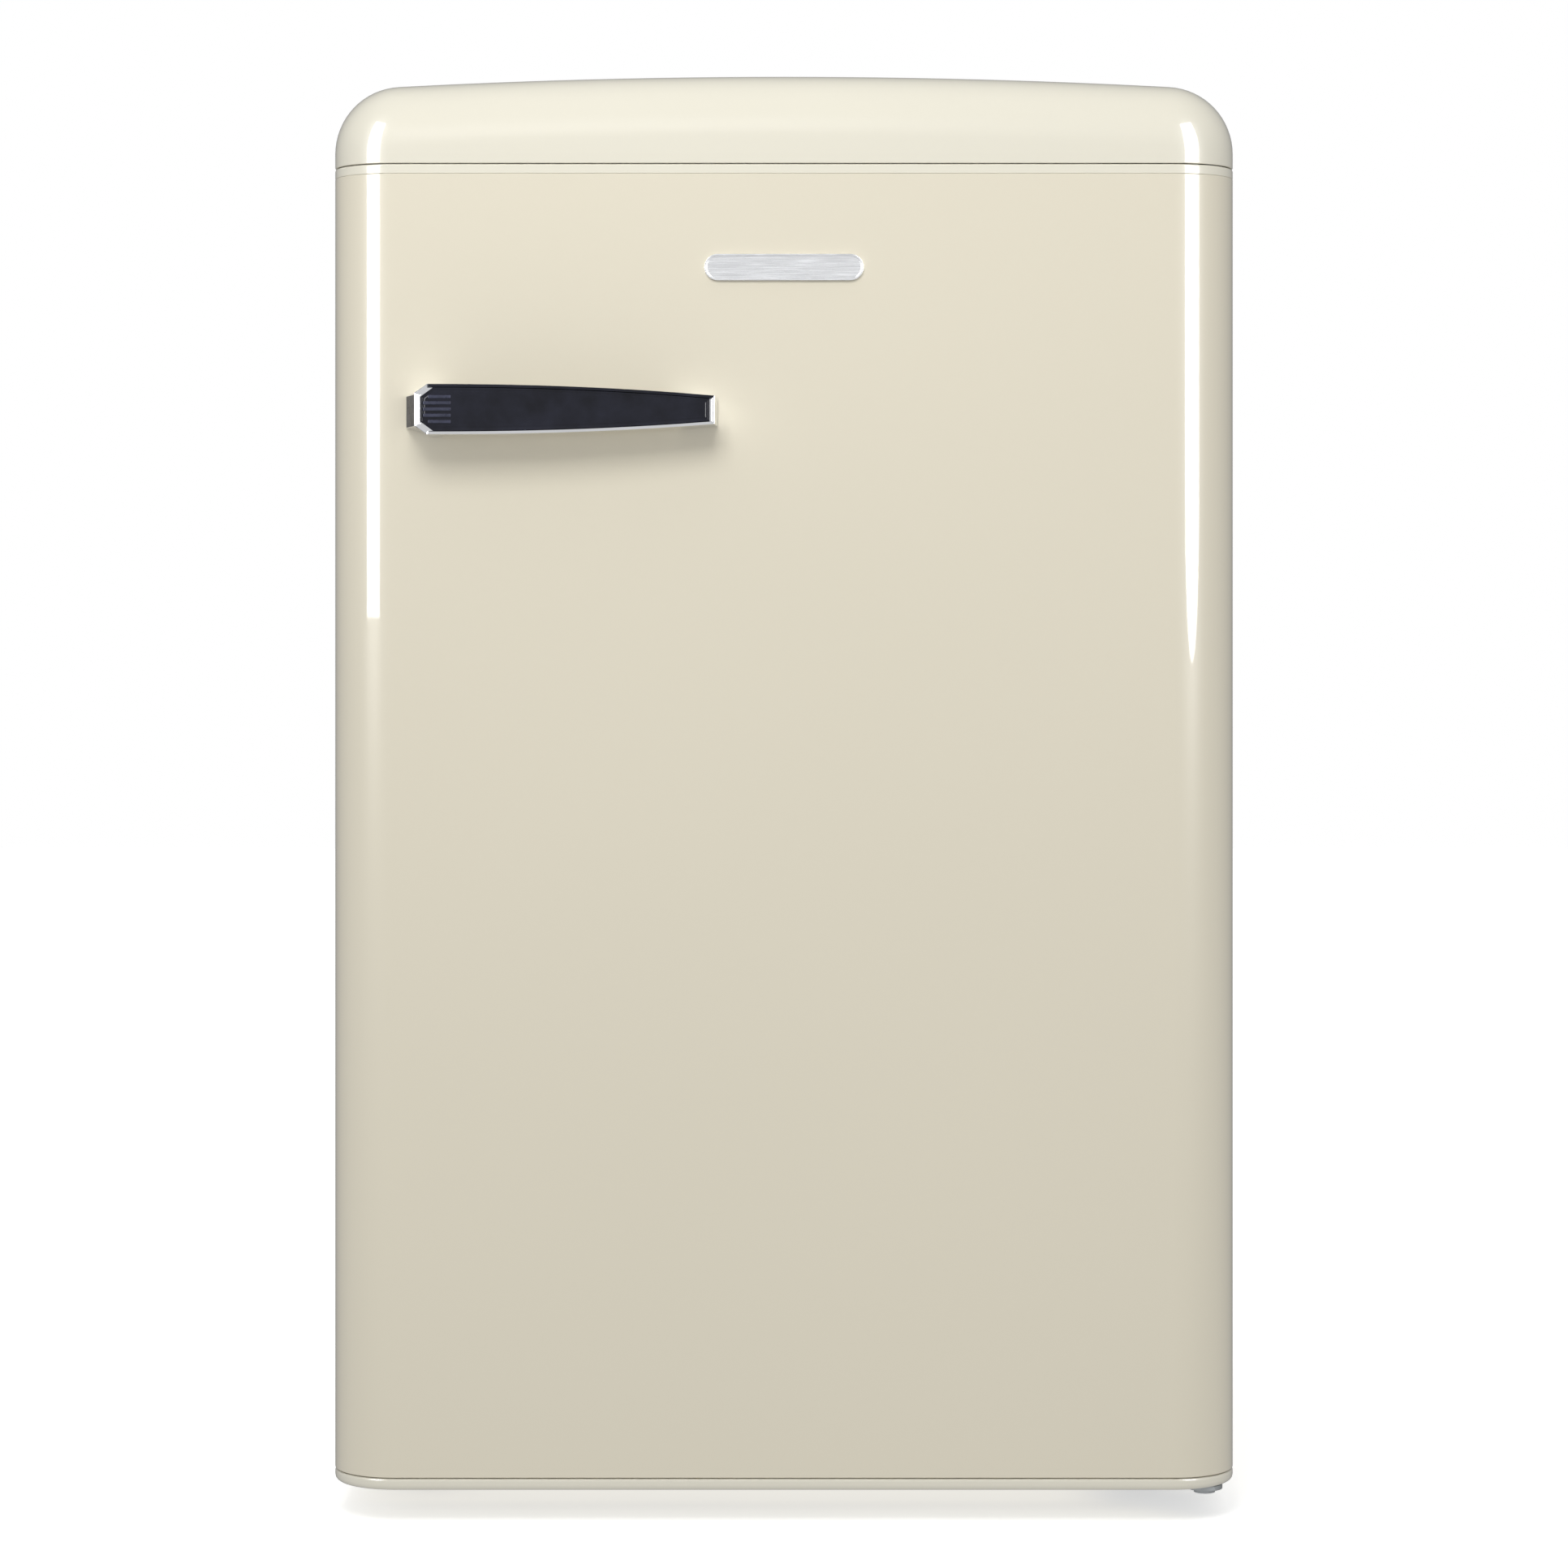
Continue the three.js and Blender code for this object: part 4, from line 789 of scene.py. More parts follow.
def make_finishes(tones):
    """Every finish by name."""
    made = {
        "cream": noisy("cream_enamel", tones.cream, **ENAMEL),
        "cap": noisy("cream_cap_gloss", tones.cap, **ENAMEL),
        # vacuum-formed or moulded plastic with a satin skin
        "white": noisy(
            "white_moulding", tones.white, (9, 4, 0.975, 1.01), (60, 3, 0.29, 0.43),
            ((1400, 2, 0.015, 0.5), (24, 2, 0.12, 0.15)),
            IOR=1.5, Coat_Weight=0.15, Coat_Roughness=0.2,
        ),
        "black_moulding": black_plastic(tones.black),
        "black_rubber": noisy("black_rubber", shade(tones.black, 1.6), **RUBBER),
        "seal": noisy("grey_seal", tones.seal, **RUBBER),
        # crystal plastic, a little wavy from its mould
        "clear": noisy(
            "clear_plastic", tones.clear, (12, 2, 1, 1.03), (45, 3, 0.015, 0.07),
            ((38, 2, 0.25, 0.18),), IOR=1.47, Transmission_Weight=1,
        ),
        # float glass with a green tint and faint smears
        "glass": noisy(
            "shelf_glass", tones.glass, (6, 2, 1, 1.02), (30, 5, 0.0, 0.035, (1, 2.5, 1)),
            ((9, 1, 0.03, 0.1),), (0.45, 0.8), IOR=1.52, Transmission_Weight=1,
        ),
        # bright plating with hairline scratches from wiping
        "chrome": noisy(
            "bright_chrome", tones.chrome, (25, 4, 0.94, 1), (700, 4, 0.035, 0.10, (0.05, 1, 1)),
            ((900, 3, 0.004, 0.4, (0.04, 1, 1)),), Metallic=1, IOR=2.5,
        ),
        # plating brushed sideways
        "satin": noisy(
            "satin_chrome", tones.chrome, (50, 3, 0.9, 1, (0.1, 1, 1)),
            (2200, 3, 0.20, 0.34, (0.02, 1, 1)), ((2600, 2, 0.006, 0.6, (0.02, 1, 1)),),
            Metallic=1, Anisotropic=0.4,
        ),
        # deep gloss lacquer, nearly black, with a faint blue cast
        "handle": noisy(
            "gloss_black", tones.handle, (60, 4, 1, 2.4), (300, 3, 0.05, 0.12),
            ((120, 2, 0.01, 0.3),),
            IOR=1.3, Specular_IOR_Level=0.5, Coat_Weight=0.12, Coat_Roughness=0.02,
        ),
        "handle_end": ribbed_dark(tones.handle),
        # satin black on the grip ribs, lighter than the face: the lighter tone is a painted
        # highlight for light caught on the ribs' rounded edges
        "grip": noisy(
            "satin_black", tones.handle, (150, 3, 5, 8), (400, 3, 0.25, 0.38),
            ((600, 2, 0.02, 0.3),), Metallic=0.4, IOR=1.5,
        ),
        "zinc": zinc_steel(tones.zinc),
        # stoving lacquer on steel, with dust and worn patches
        "lacquer": worn(
            "black_lacquer", tones.black, WORN_LACQUER, 28, (0.45, 0.75), (70, 0.28, 0.52),
            (500, 0.03), Coat_Weight=0.5, Coat_Roughness=0.22, IOR=1.5,
        ),
        # drawn copper, tarnished in patches
        "copper": worn(
            "drawn_copper", tones.copper, TARNISH, 45, (0.4, 0.7), (120, 0.22, 0.46),
            (800, 0.01), Metallic=1,
        ),
        "foam": rigid_foam(tones.foam),
        # rolled aluminium with faint pressing lines
        "cold_plate": noisy(
            "rolled_aluminium", ALUMINIUM, (30, 4, 0.85, 1, (1, 1, 0.2)),
            (900, 3, 0.28, 0.44, (1, 1, 0.03)), ((900, 2, 0.02, 0.5, (1, 1, 0.03)),), Metallic=1,
        ),
        # smooth painted studio floor, which shines a little itself
        "floor": noisy(
            "studio_floor", tones.floor, (1.3, 3, 0.995, 1.005), (20, 3, 0.55, 0.7),
            IOR=1.45, Specular_IOR_Level=0.1, Emission_Strength=0.5, Emission_Color=(1, 1, 1, 1),
        ),
    }
    return {name: finish.material for name, finish in made.items()}


FINISHES = {}


# ---------------------------------------------------------------- pieces


class REFRIGERATOR_OT_finishes(bpy.types.Operator):
    """Makes every finish from the colours in the sidebar"""

    bl_idname = "refrigerator.finishes"
    bl_label = "Finishes"

    def execute(self, context):
        FINISHES.update(make_finishes(context.scene.refrigerator_colours))
        return {"FINISHED"}


class REFRIGERATOR_OT_stage(bpy.types.Operator):
    """Adds the floor, the camera, the lights and the even white surround"""

    bl_idname = "refrigerator.stage"
    bl_label = "Stage"

    def execute(self, context):
        stage = context.scene.refrigerator_stage
        deselect()
        bpy.ops.mesh.primitive_plane_add(size=stage.floor_size, location=(0, 0, 0))
        floor = settle("floor")
        floor.data.materials.append(FINISHES["floor"])
        floor.visible_diffuse = floor.visible_glossy = False
        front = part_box("door_skin")[0].y
        bpy.ops.object.camera_add(
            location=(0, front - stage.distance, stage.eye), rotation=(math.pi / 2, 0, 0)
        )
        camera = context.object
        camera.name = "camera"
        camera.data.lens = stage.lens
        camera.data.sensor_width = 36
        camera.data.shift_y = stage.shift
        camera.data.clip_end = 50
        context.scene.camera = camera
        self.surround(context, stage)
        for name, spot, aim, wide, tall, power in PLAIN_LIGHTS:
            light = self.area(name, spot, aim, wide, tall, getattr(stage, power))
            light.visible_glossy = False
        for name, bearing, wide, foot, head, shape, share in STRIP_LIGHTS:
            turn = math.radians(bearing)
            aim = (0, STRIP_CENTRE_Y, (foot + head) / 2)
            spot = (STRIP_REACH * math.sin(turn), aim[1] - STRIP_REACH * math.cos(turn), aim[2])
            light = self.area(name, spot, aim, wide, head - foot, stage.strips * share)
            light.data.shape = shape
            light.visible_diffuse = False
        context.scene.view_settings.view_transform = "Standard"
        return {"FINISHED"}

    def surround(self, context, stage):
        """An even white all round, dimmer in the gloss towards the back."""
        world = bpy.data.worlds.new("white_surround")
        context.scene.world = world
        world.use_nodes = True
        nodes, links = world.node_tree.nodes, world.node_tree.links
        path = nodes.new("ShaderNodeLightPath")
        shown = nodes["Background"].outputs["Background"]
        nodes["Background"].inputs["Color"].default_value = (1, 1, 1, 1)
        nodes["Background"].inputs["Strength"].default_value = stage.sky
        way = nodes.new("ShaderNodeSeparateXYZ")
        links.new(nodes.new("ShaderNodeTexCoord").outputs["Generated"], way.inputs["Vector"])
        fade = nodes.new("ShaderNodeMapRange")
        ends = {"From Min": 0, "From Max": 0.9, "To Min": stage.dim, "To Max": REAR_DIM * stage.dim}
        for label, value in ends.items():
            fade.inputs[label].default_value = value
        links.new(way.outputs["Y"], fade.inputs["Value"])
        for ray in ("Is Glossy Ray", "Is Camera Ray"):
            white = nodes.new("ShaderNodeBackground")
            white.inputs["Color"].default_value = (1, 1, 1, 1)
            if ray == "Is Glossy Ray":
                links.new(fade.outputs["Result"], white.inputs["Strength"])
            mix = nodes.new("ShaderNodeMixShader")
            links.new(path.outputs[ray], mix.inputs["Fac"])
            links.new(shown, mix.inputs[1])
            links.new(white.outputs["Background"], mix.inputs[2])
            shown = mix.outputs["Shader"]
        links.new(shown, nodes["World Output"].inputs["Surface"])

    def area(self, name, spot, aim, wide, tall, power):
        """A rectangular light turned towards a point."""
        turn = (Vector(aim) - Vector(spot)).to_track_quat("-Z", "Y").to_euler()
        bpy.ops.object.light_add(type="AREA", location=spot, rotation=turn)
        light = bpy.context.object
        light.name = light.data.name = name
        light.data.shape = "RECTANGLE"
        light.data.size, light.data.size_y = wide, tall
        light.data.energy = power
        return light


class REFRIGERATOR_OT_top_cap(bpy.types.Operator):
    """Builds the arched top cap with its rolled front, and the plate under its visor"""

    bl_idname = "refrigerator.top_cap"
    bl_label = "Top cap"

    def execute(self, context):
        sizes = context.scene.refrigerator_sizes
        low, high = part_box("top_cap")
        corner = sizes.edge_radius + sizes.corner_extra
        middle_x = high.x - corner
        crown = high.z - sizes.crown_radius
        middle_z = crown + math.sqrt((sizes.crown_radius - corner) ** 2 - middle_x**2)
        turn = math.degrees(math.atan2(middle_z - crown, middle_x))
        below = low.z - 2 * sizes.edge_radius
        line = Line("cap_shell", (high.x, low.y, below))
        line.to((high.x, low.y, middle_z))
        line.arc((middle_x, low.y, middle_z), -Y, turn, 16)
        line.arc((0, low.y, crown), -Y, 180 - 2 * turn, 24)
        line.arc((-middle_x, low.y, middle_z), -Y, turn, 16)
        line.to((-high.x, low.y, below))
        cap = line.raised(Y * (high.y - low.y))
        with shaping(cap):
            pick_edges(lambda a, b: near(a.y, low.y) and near(b.y, low.y))
            bevel(sizes.edge_radius, 16)
            pick_all()
            bpy.ops.mesh.bisect(plane_co=(0, 0, low.z), plane_no=Z, clear_inner=True)
        thicken(cap, sizes.cap_wall)
        soften(cap, 0.7 * MM, 2, 50)
        complete(cap, "cabinet", "cap_gloss", "cap", "top_cap")
        dress("cap_underplate", "visor_plate", 0.5 * MM, 2, "cabinet", "white_plastic", "white")
        return {"FINISHED"}


class REFRIGERATOR_OT_door_shell(bpy.types.Operator):
    """Builds the door's folded skin with its upper lip and lower bead"""

    bl_idname = "refrigerator.door_shell"
    bl_label = "Door shell"

    def execute(self, context):
        sizes = context.scene.refrigerator_sizes
        low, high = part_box("door_skin")
        top_joint = high.z + FIT - 0.05 * MM
        skin = self.slab("door_panel", low.z, top_joint, sizes)
        with shaping(skin):
            self.roll(low.z, sizes.joint_roll)
            self.roll(top_joint, sizes.joint_roll)
            pick_faces(lambda at, way: way.y > 0.9 and near(at.y, high.y))
            inset(12 * MM)
            delete_faces()
            pick_faces(lambda at, way: abs(way.z) > 0.99)
            delete_faces()
        thicken(skin, sizes.sheet)
        complete(skin, "door", "door_paint", "cream", "door_skin")
        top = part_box("door_top_endcap")[1].z + sizes.lip_rise
        lip = self.slab("door_upper_lip", high.z + FIT, top, sizes)
        with shaping(lip):
            self.roll(high.z + FIT, sizes.joint_roll)
            self.roll(top, sizes.roll)
        self.bore(lip, "door_top_endcap", high.z + 2 * MM)
        place(lip, "door", "door_paint", "cap", "door_top_endcap")
        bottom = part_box("door_bottom_endcap")[0].z
        bead = self.slab("door_lower_bead", bottom, low.z - FIT, sizes)
        with shaping(bead):
            self.roll(low.z - FIT, sizes.bead_top_roll)
            self.roll(bottom, sizes.bead_roll)
        self.bore(bead, "door_bottom_endcap", low.z - 2 * MM)
        place(bead, "door", "door_paint", "cap", "door_bottom_endcap")
        return {"FINISHED"}

    def slab(self, name, z0, z1, sizes):
        """The door's plan, with round front edges, raised between two heights."""
        low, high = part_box("door_skin")
        radius = sizes.edge_radius
        line = Line(name, (low.x, high.y, z0))
        line.to((low.x, low.y + radius, z0))
        line.arc((low.x + radius, low.y + radius, z0), Z, 90, 18)
        line.to((high.x - radius, low.y, z0))
        line.arc((high.x - radius, low.y + radius, z0), Z, 90, 18)
        line.to((high.x, high.y, z0))
        return line.raised(Z * (z1 - z0))

    def roll(self, z, radius):
        """Rounds the edge at one height."""
        pick_edges(lambda a, b: near(a.z, z) and near(b.z, z))
        bevel(radius, 4)

    def bore(self, plate, node, inside):
        """Adds the boss behind a plate and bores it for the hinge bush."""
        low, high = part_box(node)
        at, radius = core("upper_hinge_bush")
        reach = low.z if inside > (low.z + high.z) / 2 else high.z
        spots = [Vector((at.x, at.y, z)) for z in sorted((inside, reach))]
        boss = add_rod("boss", Z, *spots, radius + FIT + 3 * MM)
        fuse(plate, boss)
        ends = [Vector((at.x, at.y, z)) for z in (low.z - MM, high.z + MM)]
        subtract(plate, add_rod("bore", Z, *ends, radius + FIT))
        smooth(plate)


class REFRIGERATOR_OT_handle(bpy.types.Operator):
    """Builds the chrome bridge handle, its gloss face with the grip ribs, and the blank badge"""

    bl_idname = "refrigerator.handle"
    bl_label = "Handle and badge"
    SEAT = 1.2 * MM  # how deep the seat for the face is sunk
    FACE = 0.9 * MM  # thickness of the face
    SET_BACK = 0.25 * MM  # of the face behind the frame
    DARK_DEPTH = 16 * MM  # how far back the dark long edges go

    def execute(self, context):
        sizes = context.scene.refrigerator_sizes
        low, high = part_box("handle_body")
        self.low, self.high, self.middle = low, high, (low.z + high.z) / 2
        self.sizes = sizes
        self.left = low.x + sizes.handle_slope
        self.right = high.x - sizes.inner_slope
        self.bar()
        self.face()
        self.badge()
        return {"FINISHED"}

    def bow(self, x):
        """How far back the bar's front lies at x."""
        along = (x - self.left) / (self.right - self.left)
        return self.low.y + self.sizes.handle_fall * along**2

    def half_height(self, x):
        """Half the bar's height at x, before its corners are cut."""
        tall, small = (self.high.z - self.low.z) / 2, self.sizes.inner_end / 2
        first = self.left + self.sizes.chamfer_x
        along = max(0, (x - first) / (self.right - first))
        return tall + (small - tall) * along**self.sizes.taper

    def strip(self, name, stops, inset):
        """The bowed, tapering front of the bar as one row of faces, made a slab by its caller."""
        first = stops[0]
        cut_z = self.sizes.chamfer_z
        heights = [self.half_height(x) - inset for x in stops]
        heights[0] -= cut_z
        line = Line(name, (first, self.bow(first), self.middle - heights[0]))
        line.to((first, self.bow(first), self.middle + heights[0]))
        pick_all()
        for (a, b), (h, k) in zip(zip(stops, stops[1:]), zip(heights, heights[1:])):
            extrude((b - a, self.bow(b) - self.bow(a), 0))
            stretch((1, 1, k / h), (b, 0, self.middle))
        return line.open()

    def bar(self):
        """Frame, posts and the seat for the face."""
        sizes = self.sizes
        post, wall = sizes.handle_post, self.high.y
        start, end = self.low.x + post, self.high.x - post
        stops = [self.left, self.left + sizes.chamfer_x, start]
        stops += [start + (end - start) * i / 10 for i in range(1, 10)] + [end, self.right]
        bar = self.strip("handle_frame", stops, 0)
        with shaping(bar):
            pick_all()
            extrude((0, sizes.handle_bar, 0))
            outwards()
            pick_faces(lambda at, way: way.y > 0.9 and not start < at.x < end)
            extrude((0, wall - self.low.y, 0))
            pick_faces(lambda at, way: way.y > 0.9 and not start < at.x < end)
            stretch((1, 0, 1), (0, wall, 0))
            pick_corners(lambda at: near(at.y, wall) and at.x < self.left + MM)
            shift((-sizes.handle_slope, 0, 0))
            pick_corners(lambda at: near(at.y, wall) and at.x > self.right - MM)
            shift((sizes.inner_slope, 0, 0))
            pick_facing(-Y)
            inset(sizes.handle_rim)
            edge = self.left + sizes.handle_rim
            pick_corners(lambda at: at.y < self.low.y + MM and near(at.x, edge, MM / 2))
            shift((sizes.handle_end - sizes.handle_rim, 0, 0))
            edge = self.right - sizes.handle_rim
            pick_corners(lambda at: at.y < self.low.y + 6 * MM and near(at.x, edge, MM / 2))
            shift((sizes.handle_rim - sizes.inner_end_band, 0, 0))
            pick_corners(lambda at: at.y < self.low.y + MM and near(at.x, self.left, MM / 10))
            shift((0, sizes.end_band_fall, 0))
            pick_faces(lambda at, way: way.y < -0.96 and self.inside(at))
            extrude((0, self.SEAT, 0))
            outwards()
        soften(bar, 0.45 * MM, 3, 30)
        smooth(bar, 40)
        for finish in ("chrome", "handle_end", "handle"):
            bar.data.materials.append(FINISHES[finish])
        with shaping(bar):
            for slot, test in ((1, self.outer_end), (2, self.long_edge)):
                pick_faces(test)
                bar.active_material_index = slot
                bpy.ops.object.material_slot_assign()
        place(bar, "door", "handle_chrome", "chrome", "handle_body")

    def outer_end(self, at, way):
        """True for the frame's sloping outer end."""
        return way.x < -0.85 and at.x < self.left

    def long_edge(self, at, way):
        """True for the frame's front and top between its end bands."""
        between = self.left + self.sizes.chamfer_x < at.x < self.right - self.sizes.inner_end_band
        upper = at.z > self.middle and (way.y < -0.6 or way.z > 0.3)
        return between and upper and at.y < self.low.y + self.DARK_DEPTH

    def inside(self, at):
        """True for the faces inside the handle's border."""
        rim = self.sizes.handle_rim
        clear = self.half_height(at.x) - abs(at.z - self.middle) > rim
        return clear and self.left + rim < at.x < self.right - rim

    def face(self):
        """Gloss face with a sunk border and the grip ribs at its outer end."""
        sizes = self.sizes
        gap = sizes.handle_rim + FIT
        first = self.left + sizes.handle_end + FIT
        last = self.right - sizes.inner_end_band - FIT
        second = first + sizes.chamfer_x - 0.4 * MM
        stops = [first, second] + [second + (last - second) * i / 12 for i in range(1, 13)]
        face = self.strip("handle_gloss_face", stops, gap)
        with shaping(face):
            pick_all()
            extrude((0, self.FACE, 0))
            outwards()
            pick_all()
            shift((0, self.SET_BACK, 0))
            pick_facing(-Y)
            inset(0.7 * MM)
            inset(0.5 * MM, -0.45 * MM)
            inset(1.0 * MM)
            inset(0.4 * MM, 0.2 * MM)
        soften(face, 0.12 * MM, 2, 25)
        ribs = []
        for i in range(sizes.grips):
            z = (i - (sizes.grips - 1) / 2) * sizes.grip_pitch
            start = first + 1.6 * MM + max(0, abs(z) - 4.5 * MM)
            y = self.bow(start)
            rib = add_soft_block(
                f"grip_{i}", (start, y, self.middle + z - MM),
                (first + 18 * MM, y + 0.6 * MM, self.middle + z + MM),
                0.5 * MM, 3,
            )
            # the ribs' lighter satin black is a painted highlight on their edges
            rib.data.materials.append(FINISHES["grip"])
            ribs.append(rib)
        face.data.materials.append(FINISHES["handle"])
        join(face, *ribs)
        complete(face, "door", "handle_black", "handle", "handle_face", degrees=30)

    def badge(self):
        """A blank plate with round ends and a raised border."""
        low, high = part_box("badge_plate")
        r = (high.z - low.z) / 2
        z = (high.z + low.z) / 2
        line = Line("blank_badge", (high.x - r, high.y, low.z))
        line.arc((high.x - r, high.y, z), -Y, 180, 24)
        line.to((low.x + r, high.y, high.z))
        line.arc((low.x + r, high.y, z), -Y, 180, 24)
        badge = line.raised(Y * (low.y - high.y))
        with shaping(badge):
            pick_facing(-Y)
            inset(1.1 * MM)
            inset(0.3 * MM, -0.4 * MM)
        soften(badge, 0.25 * MM, 2, 30)
        complete(badge, "door", "handle_chrome", "satin", "badge_plate")


class REFRIGERATOR_OT_cabinet(bpy.types.Operator):
    """Finishes the cabinet's folded sheets with soft edges, and screws on the back panel"""

    bl_idname = "refrigerator.cabinet"
    bl_label = "Cabinet"

    def execute(self, context):
        sheets = {
            "left_side_panel": "left_side_sheet",
            "right_side_panel": "right_side_sheet",
            "top_panel": "top_sheet",
            "base_pan": "base_sheet",
        }
        for node, name in sheets.items():
            dress(node, name, 0.4 * MM, 2, "cabinet", "cabinet_paint", "cream")
        back = softened("back_panel", "back_sheet", 0.3 * MM, 1)
        low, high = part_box("back_panel")
        screw = add_turned(
            "screw", (0, high.y, 0),
            [(0, 0), (3.6 * MM, 0), (3.4 * MM, 0.6 * MM), (2.2 * MM, 1.1 * MM), (0, 1.2 * MM)],
            16, Y,
        )
        slot_low = (-2.2 * MM, high.y + 0.6 * MM, -0.4 * MM)
        subtract(screw, add_block("slot", slot_low, (2.2 * MM, high.y + 3 * MM, 0.4 * MM)))
        screws = []
        for x in (low.x + 9 * MM, high.x - 9 * MM):
            for i in range(5):
                z = low.z + 20 * MM + (high.z - low.z - 40 * MM) * i / 4
                screws.append(copy(screw, "screw_copy", (x, 0, z)))
        bpy.data.objects.remove(screw)
        join(back, *screws)
        complete(back, "cabinet", "zinc_plate", "zinc", "back_panel")
        return {"FINISHED"}


class REFRIGERATOR_OT_liner(bpy.types.Operator):
    """Builds the formed inner liner with its step, ledges and flange"""

    bl_idname = "refrigerator.liner"
    bl_label = "Inner liner"

    def execute(self, context):
        sizes = context.scene.refrigerator_sizes
        wall = sizes.liner_wall
        low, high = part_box("inner_liner")
        floor_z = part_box("crisper_drawer")[0].z - 0.5 * MM
        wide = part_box("shelf_upper_glass")[1].x + 2 * MM
        flange = high.x - wide - wall
        ceiling = high.z - flange - wall
        back = high.y - wall
        step_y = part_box("crisper_drawer")[1].y + 4 * MM
        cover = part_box("crisper_cover_glass")[0].z
        step_z = cover - sizes.ledge_height - MM
        line = Line("liner_shell", (-wide, low.y, floor_z))
        line.to((-wide, step_y, floor_z), (-wide, step_y, step_z), (-wide, back, step_z))
        line.to((-wide, back, ceiling), (-wide, low.y, ceiling))
        room = line.raised(X * 2 * wide)
        with shaping(room):
            pick_facing(-Y)
            delete_faces()
            pick_edges(lambda a, b: not (near(a.y, low.y) and near(b.y, low.y)))
            bevel(sizes.liner_round, 6)
            pick_all()
            bpy.ops.mesh.flip_normals()
        thicken(room, wall)
        rim_y = low.y + 1.4 * MM
        hole = (-wide - wall / 2, floor_z - wall / 2, wide + wall / 2, ceiling + wall / 2)
        rim = add_ring("liner_rim", rim_y, rim_y + wall, (low.x, low.z, high.x, high.z), hole)
        with shaping(rim):
            pick_edges(
                lambda a, b: near(a.x, b.x) and near(a.z, b.z) and near(abs(a.x), hole[2])
                and (near(a.z, hole[1]) or near(a.z, hole[3]))
            )
            bevel(sizes.liner_round, 6)
        lower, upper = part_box("shelf_lower_glass")[0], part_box("shelf_upper_glass")[0]
        pitch = (upper.z - lower.z) / 2
        levels = [(lower.z + pitch * (i - 1), upper.y) for i in range(5)]
        levels.append((cover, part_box("crisper_cover_glass")[0].y))
        ledges = []
        for z, front in levels:
            for side in (-1, 1):
                x = pair(side, wide - sizes.ledge_depth, wide + wall / 2)
                ledge = add_soft_block(
                    "ledge", (x[0], front + 12.5 * MM, z - sizes.ledge_height),
                    (x[1], back - 6 * MM, z - FIT),
                    1.6 * MM, 3,
                )
                ledges.append(ledge)
        join(room, rim, *ledges)
        complete(room, "cabinet", "white_plastic", "white", "inner_liner")
        return {"FINISHED"}


